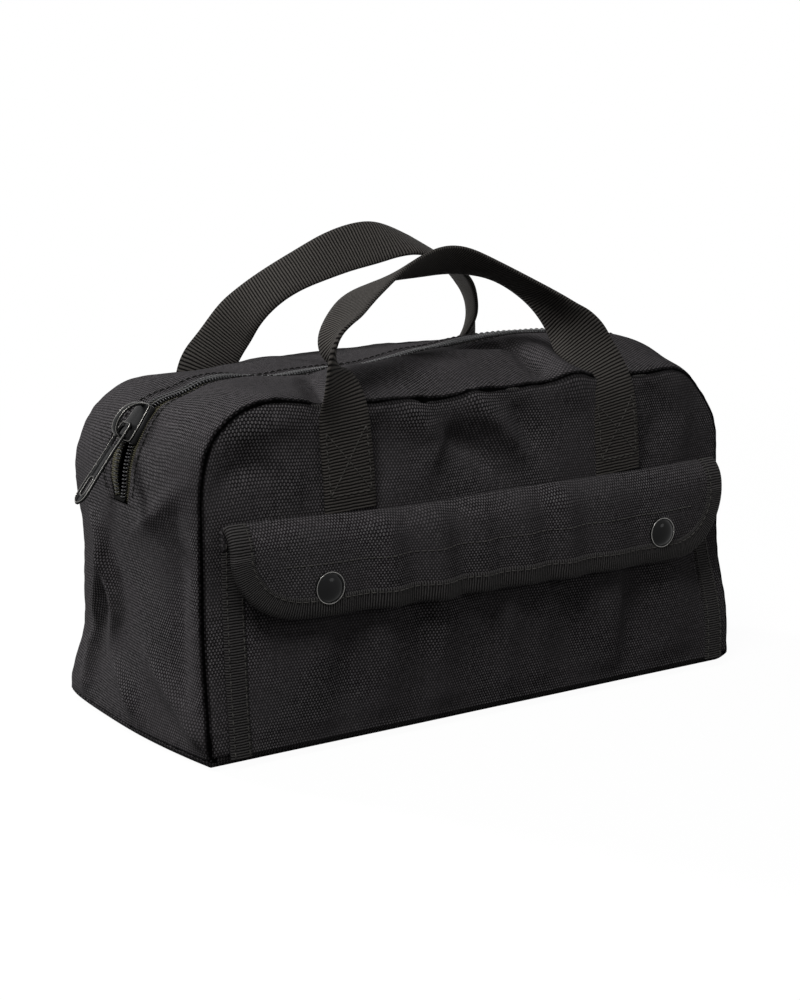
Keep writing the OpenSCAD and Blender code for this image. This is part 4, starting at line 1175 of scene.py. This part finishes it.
def round_outline(corners, r, fine=6):
    """Closed outline through rounded corners, given anticlockwise."""
    corners = np.asarray(corners, float)
    points = []
    for i, here in enumerate(corners):
        into = (here - corners[i - 1]) / np.linalg.norm(here - corners[i - 1])
        following = corners[(i + 1) % len(corners)]
        away = (following - here) / np.linalg.norm(following - here)
        a, b = here - into * r, here + away * r
        for t in np.linspace(0, 1, fine):
            points.append((1 - t) ** 2 * a + 2 * t * (1 - t) * here + t**2 * b)
    return np.array(points)


def bevelled(outline, levels):
    """Solid between levels of (inset, height) of a closed outline."""
    ways = np.roll(outline, -1, axis=0) - np.roll(outline, 1, axis=0)
    inward = np.stack([-ways[:, 1], ways[:, 0]], axis=1)
    inward /= np.linalg.norm(inward, axis=1)[:, None]
    n = len(outline)
    points = np.concatenate([np.column_stack([outline + inward * inset, np.full(n, high)])
                             for inset, high in levels])
    faces = [(i * n + k, i * n + (k + 1) % n, (i + 1) * n + (k + 1) % n, (i + 1) * n + k)
             for i in range(len(levels) - 1) for k in range(n)]
    faces += [tuple(range(n))[::-1], tuple((len(levels) - 1) * n + k for k in range(n))]
    return by_slider(points), faces


plan = round_outline([(-9, -6.5), (-2, -6.2), (9, -4.6), (9, 4.6), (-2, 6.2), (-9, 6.5)], 1.6)
body_parts = [bevelled(plan, [(0.3, 2.62), (0, 2.9), (0, 3.5), (0.2, 3.8), (0.7, 3.96)]),
              bevelled(plan, [(0.6, -3.6), (0.1, -3.3), (0, -2.7), (0.3, -2.45)])]
for side in (-1, 1):
    wall = [(-8.9, 5.3), (8.8, 3.5), (8.8, 4.6), (-2, 6.2), (-8.9, 6.5)]
    wall = np.array(wall) if side > 0 else np.array(wall)[::-1] * (1, -1)
    body_parts.append(bevelled(round_outline(wall, 0.45, 4), [(0.1, 0.05), (0, 0.4), (0, 2.75)]))
body_parts.append(bevelled(round_outline([(-8.6, -1.3), (-3.6, -0.5), (-3.6, 0.5), (-8.6, 1.3)], 0.3, 3),
                           [(0, -2.8), (0, 2.8)]))
slider = many("slider_body_casting", body_parts, die_cast)
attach(slider, "zip_slider")
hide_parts("slider_body")
# Painted highlight: a bright metal rod along the edge of the top plate.
rim_path = np.column_stack([plan, np.full(len(plan), 3.62)])
rim_path = np.concatenate([rim_path, rim_path[:2]])
slider_rim = many("slider_edge_glint_rim", [round_rod(by_slider(rim_path), 0.14, 6)], edge_glint_metal)
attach(slider_rim, "zip_slider")

arch = smooth_line([(-8.3, 0, 3.6), (-8.5, 0, 6.4), (-7.5, 0, 8.7), (-5.2, 0, 10.0), (-2.0, 0, 10.4),
                    (1.8, 0, 9.9), (5.0, 0, 8.3), (7.2, 0, 6.0), (8.2, 0, 3.6)], 48)
arch_way = np.gradient(arch, axis=0)
arch_way /= np.linalg.norm(arch_way, axis=1)[:, None]
arch_in = np.stack([arch_way[:, 2], 0 * arch[:, 0], -arch_way[:, 0]], axis=1)
strap = [(-1.5, -0.6), (-1.85, -0.3), (-1.85, 0.3), (-1.5, 0.6), (-0.9, 0.72), (0.9, 0.72), (1.5, 0.6),
         (1.85, 0.3), (1.85, -0.3), (1.5, -0.6)]
arch_net = arch[:, None, :] + np.array([[[0, a, 0] for a, b in strap]])
arch_net = arch_net + arch_in[:, None, :] * np.array([-b for a, b in strap])[None, :, None]
n, m = arch_net.shape[:2]
arch_faces = [(i * m + k, i * m + (k + 1) % m, (i + 1) * m + (k + 1) % m, (i + 1) * m + k)
              for i in range(n - 1) for k in range(m)]
bridge = many("slider_bridge_arch", [(by_slider(arch_net.reshape(-1, 3)), arch_faces)], die_cast)
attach(bridge, "zip_slider")
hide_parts("slider_bridge")
# Painted highlight: bright metal rods along both edges of the bridge.
edges = [round_rod(by_slider(arch + (0, across, 0) - arch_in * 0.52), 0.13, 6) for across in (-1.72, 1.72)]
bridge_rim = many("slider_bridge_edge_glints", edges, edge_glint_metal)
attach(bridge_rim, "zip_slider")

tab_high, tab_round_from, tab_round = 5.56, 37.4, 4.2
# Each hole of the tab: where it starts and ends, and half its width.
tab_slot, tab_oval = (3.3, 14.5, 2.3), (28.8, 38.2, 1.9)


def tab_half(d):
    """Half the width of the tab at a distance d from its pivot."""
    wide = np.interp(d, [2.2, 3.4, 9.0, 16.0, 24.0, 33.0, tab_round_from],
                     [3.3, 3.95, 4.0, 3.5, 3.65, 4.15, tab_round])
    return wide * np.sqrt(np.clip(1 - np.clip((d - tab_round_from) / tab_round, 0, 1) ** 2, 0, 1))


def closed_loop(ds, half_at):
    """Closed line round the tab: out along one side and back on the other."""
    half = np.array([half_at(d) for d in ds])
    one, other = np.column_stack([-ds, -half]), np.column_stack([-ds, half])[::-1]
    return np.concatenate([one, other])


def slot_half(d, near, far, half):
    """Half the width of a round-ended hole at a distance d from the pivot."""
    end = np.clip(np.maximum(near + half - d, d - (far - half)), 0, half)
    return np.sqrt(np.maximum(half * half - end * end, 0))


def hole_rim(near, far, half):
    """Line round a hole of the tab."""
    ds = near + (far - near) * (1 - np.cos(np.linspace(0, pi, 22))) / 2
    return closed_loop(ds, lambda d: slot_half(d, near, far, half))


def web(near, far, hole_near=None, hole_far=None, hole_half=0.0):
    """Flat metal between the tab's two edges, with a round-ended hole."""
    ds = np.unique(np.concatenate([np.linspace(near, far, 40), [hole_near or near, hole_far or far]]))
    points, faces = [], []
    for i, d in enumerate(ds):
        inner = slot_half(d, hole_near, hole_far, hole_half) if hole_near else 0.0
        outer = max(tab_half(d), inner + 0.05)
        for high in (-0.5, 0.5):
            points += [(-d, -outer, tab_high + high), (-d, -inner, tab_high + high),
                       (-d, inner, tab_high + high), (-d, outer, tab_high + high)]
        if i:
            a, b = (i - 1) * 8, i * 8
            for j, k in ((0, 1), (2, 3)):
                faces += [(a + 4 + j, a + 4 + k, b + 4 + k, b + 4 + j), (a + k, a + j, b + j, b + k)]
            faces += [(a + 1, a + 5, b + 5, b + 1)[::-1], (a + 6, a + 2, b + 2, b + 6)[::-1]]
            faces += [(a + 4, a, b, b + 4)[::-1], (a + 3, a + 7, b + 7, b + 3)[::-1]]
    return by_slider(points), faces


tab_tip = tab_round_from + tab_round * np.sin(np.linspace(0.1, pi / 2, 12))
rim_ds = np.concatenate([[2.2, 2.3, 2.6, 3.1], np.linspace(3.6, tab_round_from, 50), tab_tip])
outer_rim = closed_loop(rim_ds, lambda d: tab_half(d) - 0.55)
slot_rim, oval_rim = hole_rim(*tab_slot), hole_rim(*tab_oval)


def rim_rod(loop, r, raised=0.0):
    """Closed rod along a line of the tab, without its doubled points."""
    path = np.column_stack([loop, np.full(len(loop), tab_high + raised)])
    keep = np.concatenate([[True], np.linalg.norm(np.diff(path, axis=0), axis=1) > 1e-4])
    path = path[keep]
    return round_rod(by_slider(np.concatenate([path, path[:2]])), r, 8)


tab = many("pull_tab_plate", [web(2.4, 14.6, *tab_slot), web(14.6, 27.5),
                              web(27.5, 41.2, *tab_oval), rim_rod(slot_rim, 0.55),
                              rim_rod(outer_rim, 0.66), rim_rod(oval_rim, 0.5)], die_cast)
# Painted highlight: bright metal rods along the tab's edge and round its oval hole.
tab_glint_line = closed_loop(rim_ds, lambda d: tab_half(d) - 0.3)
tab_rim = many("pull_tab_edge_glint_rim",
               [rim_rod(tab_glint_line, 0.16, 0.5), rim_rod(oval_rim, 0.14, 0.45)], edge_glint_metal)
for piece in (tab, tab_rim):
    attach(piece, "pull_tab")
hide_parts("pull_tab")

# Handles.
# Each handle is one length of heavy ribbed webbing. Its ends are sewn flat
# on the panel with a boxed cross, and between them it stands up in an arch that
# leans over the zip and has taken a lazy twist.
webbing = ribbed_tape("webbing_weave", (0.0132, 0.0122, 0.0112), 1.35, 3.4)
# Places along each handle, left to right: the middle of the webbing, and how
# far its width has turned inward and dips, in degrees.
front_stations = [
    (-72, -66, 102, 0, 0), (-72.5, -66, 115, 0, 0), (-74, -66, 130, 0, 0), (-75, -66.2, 142, 4, 0),
    (-75.5, -66.3, 150, 18, -3), (-77, -65.5, 157, 32, -4), (-78, -64, 163, 52, -6),
    (-77, -61.5, 169, 68, -6), (-73, -57.5, 175, 79, -2), (-66, -53.5, 180.5, 80, 3),
    (-57, -49, 186.5, 78, 3), (-42, -43, 192.5, 66, -3), (-24, -38, 197, 54, -14),
    (-4, -34, 198.5, 52, -27), (14, -32, 195.5, 52, -24), (30, -33.5, 190.5, 60, -19),
    (42, -36, 184, 70, -20), (50, -39.5, 177.5, 82, -22), (55.5, -44.5, 170, 100, -22),
    (59, -50, 163, 130, -18), (62, -55.5, 156, 160, -13), (65, -61.5, 149, 176, -6),
    (67, -65.2, 141.5, 180, 0), (68.5, -66.1, 132, 180, 0), (70, -66, 118, 180, 0), (71, -66, 102, 180, 0)]
back_stations = [
    (-72, 66, 102, 0, 0), (-71.5, 66, 118, 0, 0), (-70, 66, 132, 6, 0), (-67, 65.5, 144, 26, 4),
    (-61.5, 63, 154, 52, 2), (-56.5, 59.5, 163, 62, -5), (-51.5, 53.5, 172.5, 74, -11),
    (-43.5, 47.5, 181.5, 82, -16), (-34, 43, 188, 82, -19), (-24, 39, 193, 78, -25),
    (-13, 35, 198, 71, -32), (0, 31.5, 201.5, 68, -38), (13, 29, 202.5, 82, -31), (26, 29.5, 200, 98, -18),
    (42, 33, 193, 103, -5), (56, 38, 184, 106, 3), (65, 44, 174.5, 113, 6), (71.5, 50.5, 166.5, 120, 6),
    (76, 57, 158.5, 128, 7), (78.5, 62.5, 151, 140, 6), (78.5, 65.5, 143, 160, 2), (76, 66, 132, 178, 0),
    (73.5, 66, 117, 180, 0), (72, 66, 102, 180, 0)]


def webbing_path(stations, side):
    """Even places along a handle: middle, way across, way out of its face."""
    line = smooth_line(stations, 260)
    for _ in range(24):
        line[1:-1] = (line[:-2] + 2 * line[1:-1] + line[2:]) / 4
    middle, turn, dip = line[:, :3], np.radians(line[:, 3]), np.radians(line[:, 4])
    across = np.stack([np.cos(turn) * np.cos(dip), -side * np.sin(turn) * np.cos(dip), np.sin(dip)], axis=1)
    along = np.gradient(middle, axis=0)
    along /= np.linalg.norm(along, axis=1)[:, None]
    across = across - along * np.sum(across * along, axis=1)[:, None]
    across /= np.linalg.norm(across, axis=1)[:, None]
    return middle, across, np.cross(across, along)


web_half, web_cup = 12.5, 0.6
web_face = [(-12.1 + 24.2 * k / 8, 1.0 if 0 < k < 8 else 0.8) for k in range(9)]
web_face += [(12.45, 0.35), (web_half, 0.0), (12.45, -0.35)]
web_section = np.array(web_face + [(-a, -b) for a, b in web_face])


def handle_mesh(name, stations, side):
    """Webbing that follows its stations and is cupped a little at the top."""
    middle, across, face = webbing_path(stations, side)
    n, m = len(middle), len(web_section)
    run = run_of(middle)
    bend = web_cup * np.sin(np.linspace(0, pi, n)) ** 2
    curve = bend[:, None] * (1 - (web_section[None, :, 0] / web_half) ** 2)
    points = (middle[:, None, :] + across[:, None, :] * web_section[None, :, 0, None]
              + face[:, None, :] * (web_section[None, :, 1] + curve)[..., None])
    index = np.arange(n * m).reshape(n, m)
    turn = np.roll(index, -1, axis=1)
    quads = np.stack([index[:-1], turn[:-1], turn[1:], index[1:]], axis=-1).reshape(-1, 4)
    lie = np.stack(np.broadcast_arrays(run[:, None], web_section[None, :, 0]), axis=-1)
    return skin_mesh(name, points.reshape(-1, 3), quads, lie.reshape(-1, 2), webbing), (middle, across, face)


box_low, box_high, box_half = 109.0, 135.4, 10.0


def boxed_cross(middle, across, face):
    """Stitches of a box with a cross on the outer face of a sewn end."""
    z = middle[:, 2]
    near_end = np.argmin(np.abs(z - box_low)), np.argmin(np.abs(z - box_high))
    a, b = min(near_end), max(near_end)

    def at(u, v):
        i = a + (b - a) * np.asarray(v, float)
        k = np.arange(len(z))
        place = np.stack([np.interp(i, k, middle[:, c]) for c in range(3)], axis=1)
        wide = np.stack([np.interp(i, k, across[:, c]) for c in range(3)], axis=1)
        out = np.stack([np.interp(i, k, face[:, c]) for c in range(3)], axis=1)
        return place + wide * (np.asarray(u, float) * box_half)[:, None] + out * 1.02, out

    parts = []
    t = np.linspace(0, 1, 20)
    for u, v in ((2 * t - 1, 0 * t), (2 * t - 1, 0 * t + 1), (0 * t - 1, t), (0 * t + 1, t),
                 (2 * t - 1, t), (1 - 2 * t, t)):
        parts += stitches(*at(u, v))
    return parts


for side, which, stations in ((-1, "front", front_stations), (1, "back", back_stations)):
    handle, (middle, across, face) = handle_mesh(which + "_handle_webbing", stations, side)
    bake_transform(handle)
    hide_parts(which + "_handle", which + "_left_anchor", which + "_right_anchor")
    half = len(middle) // 2
    crosses = []
    for end in (slice(None, half), slice(half, None)):
        crosses += boxed_cross(middle[end], across[end], face[end])
    sewn(which + "_anchor_stitching", crosses, finish=light_catch_thread)
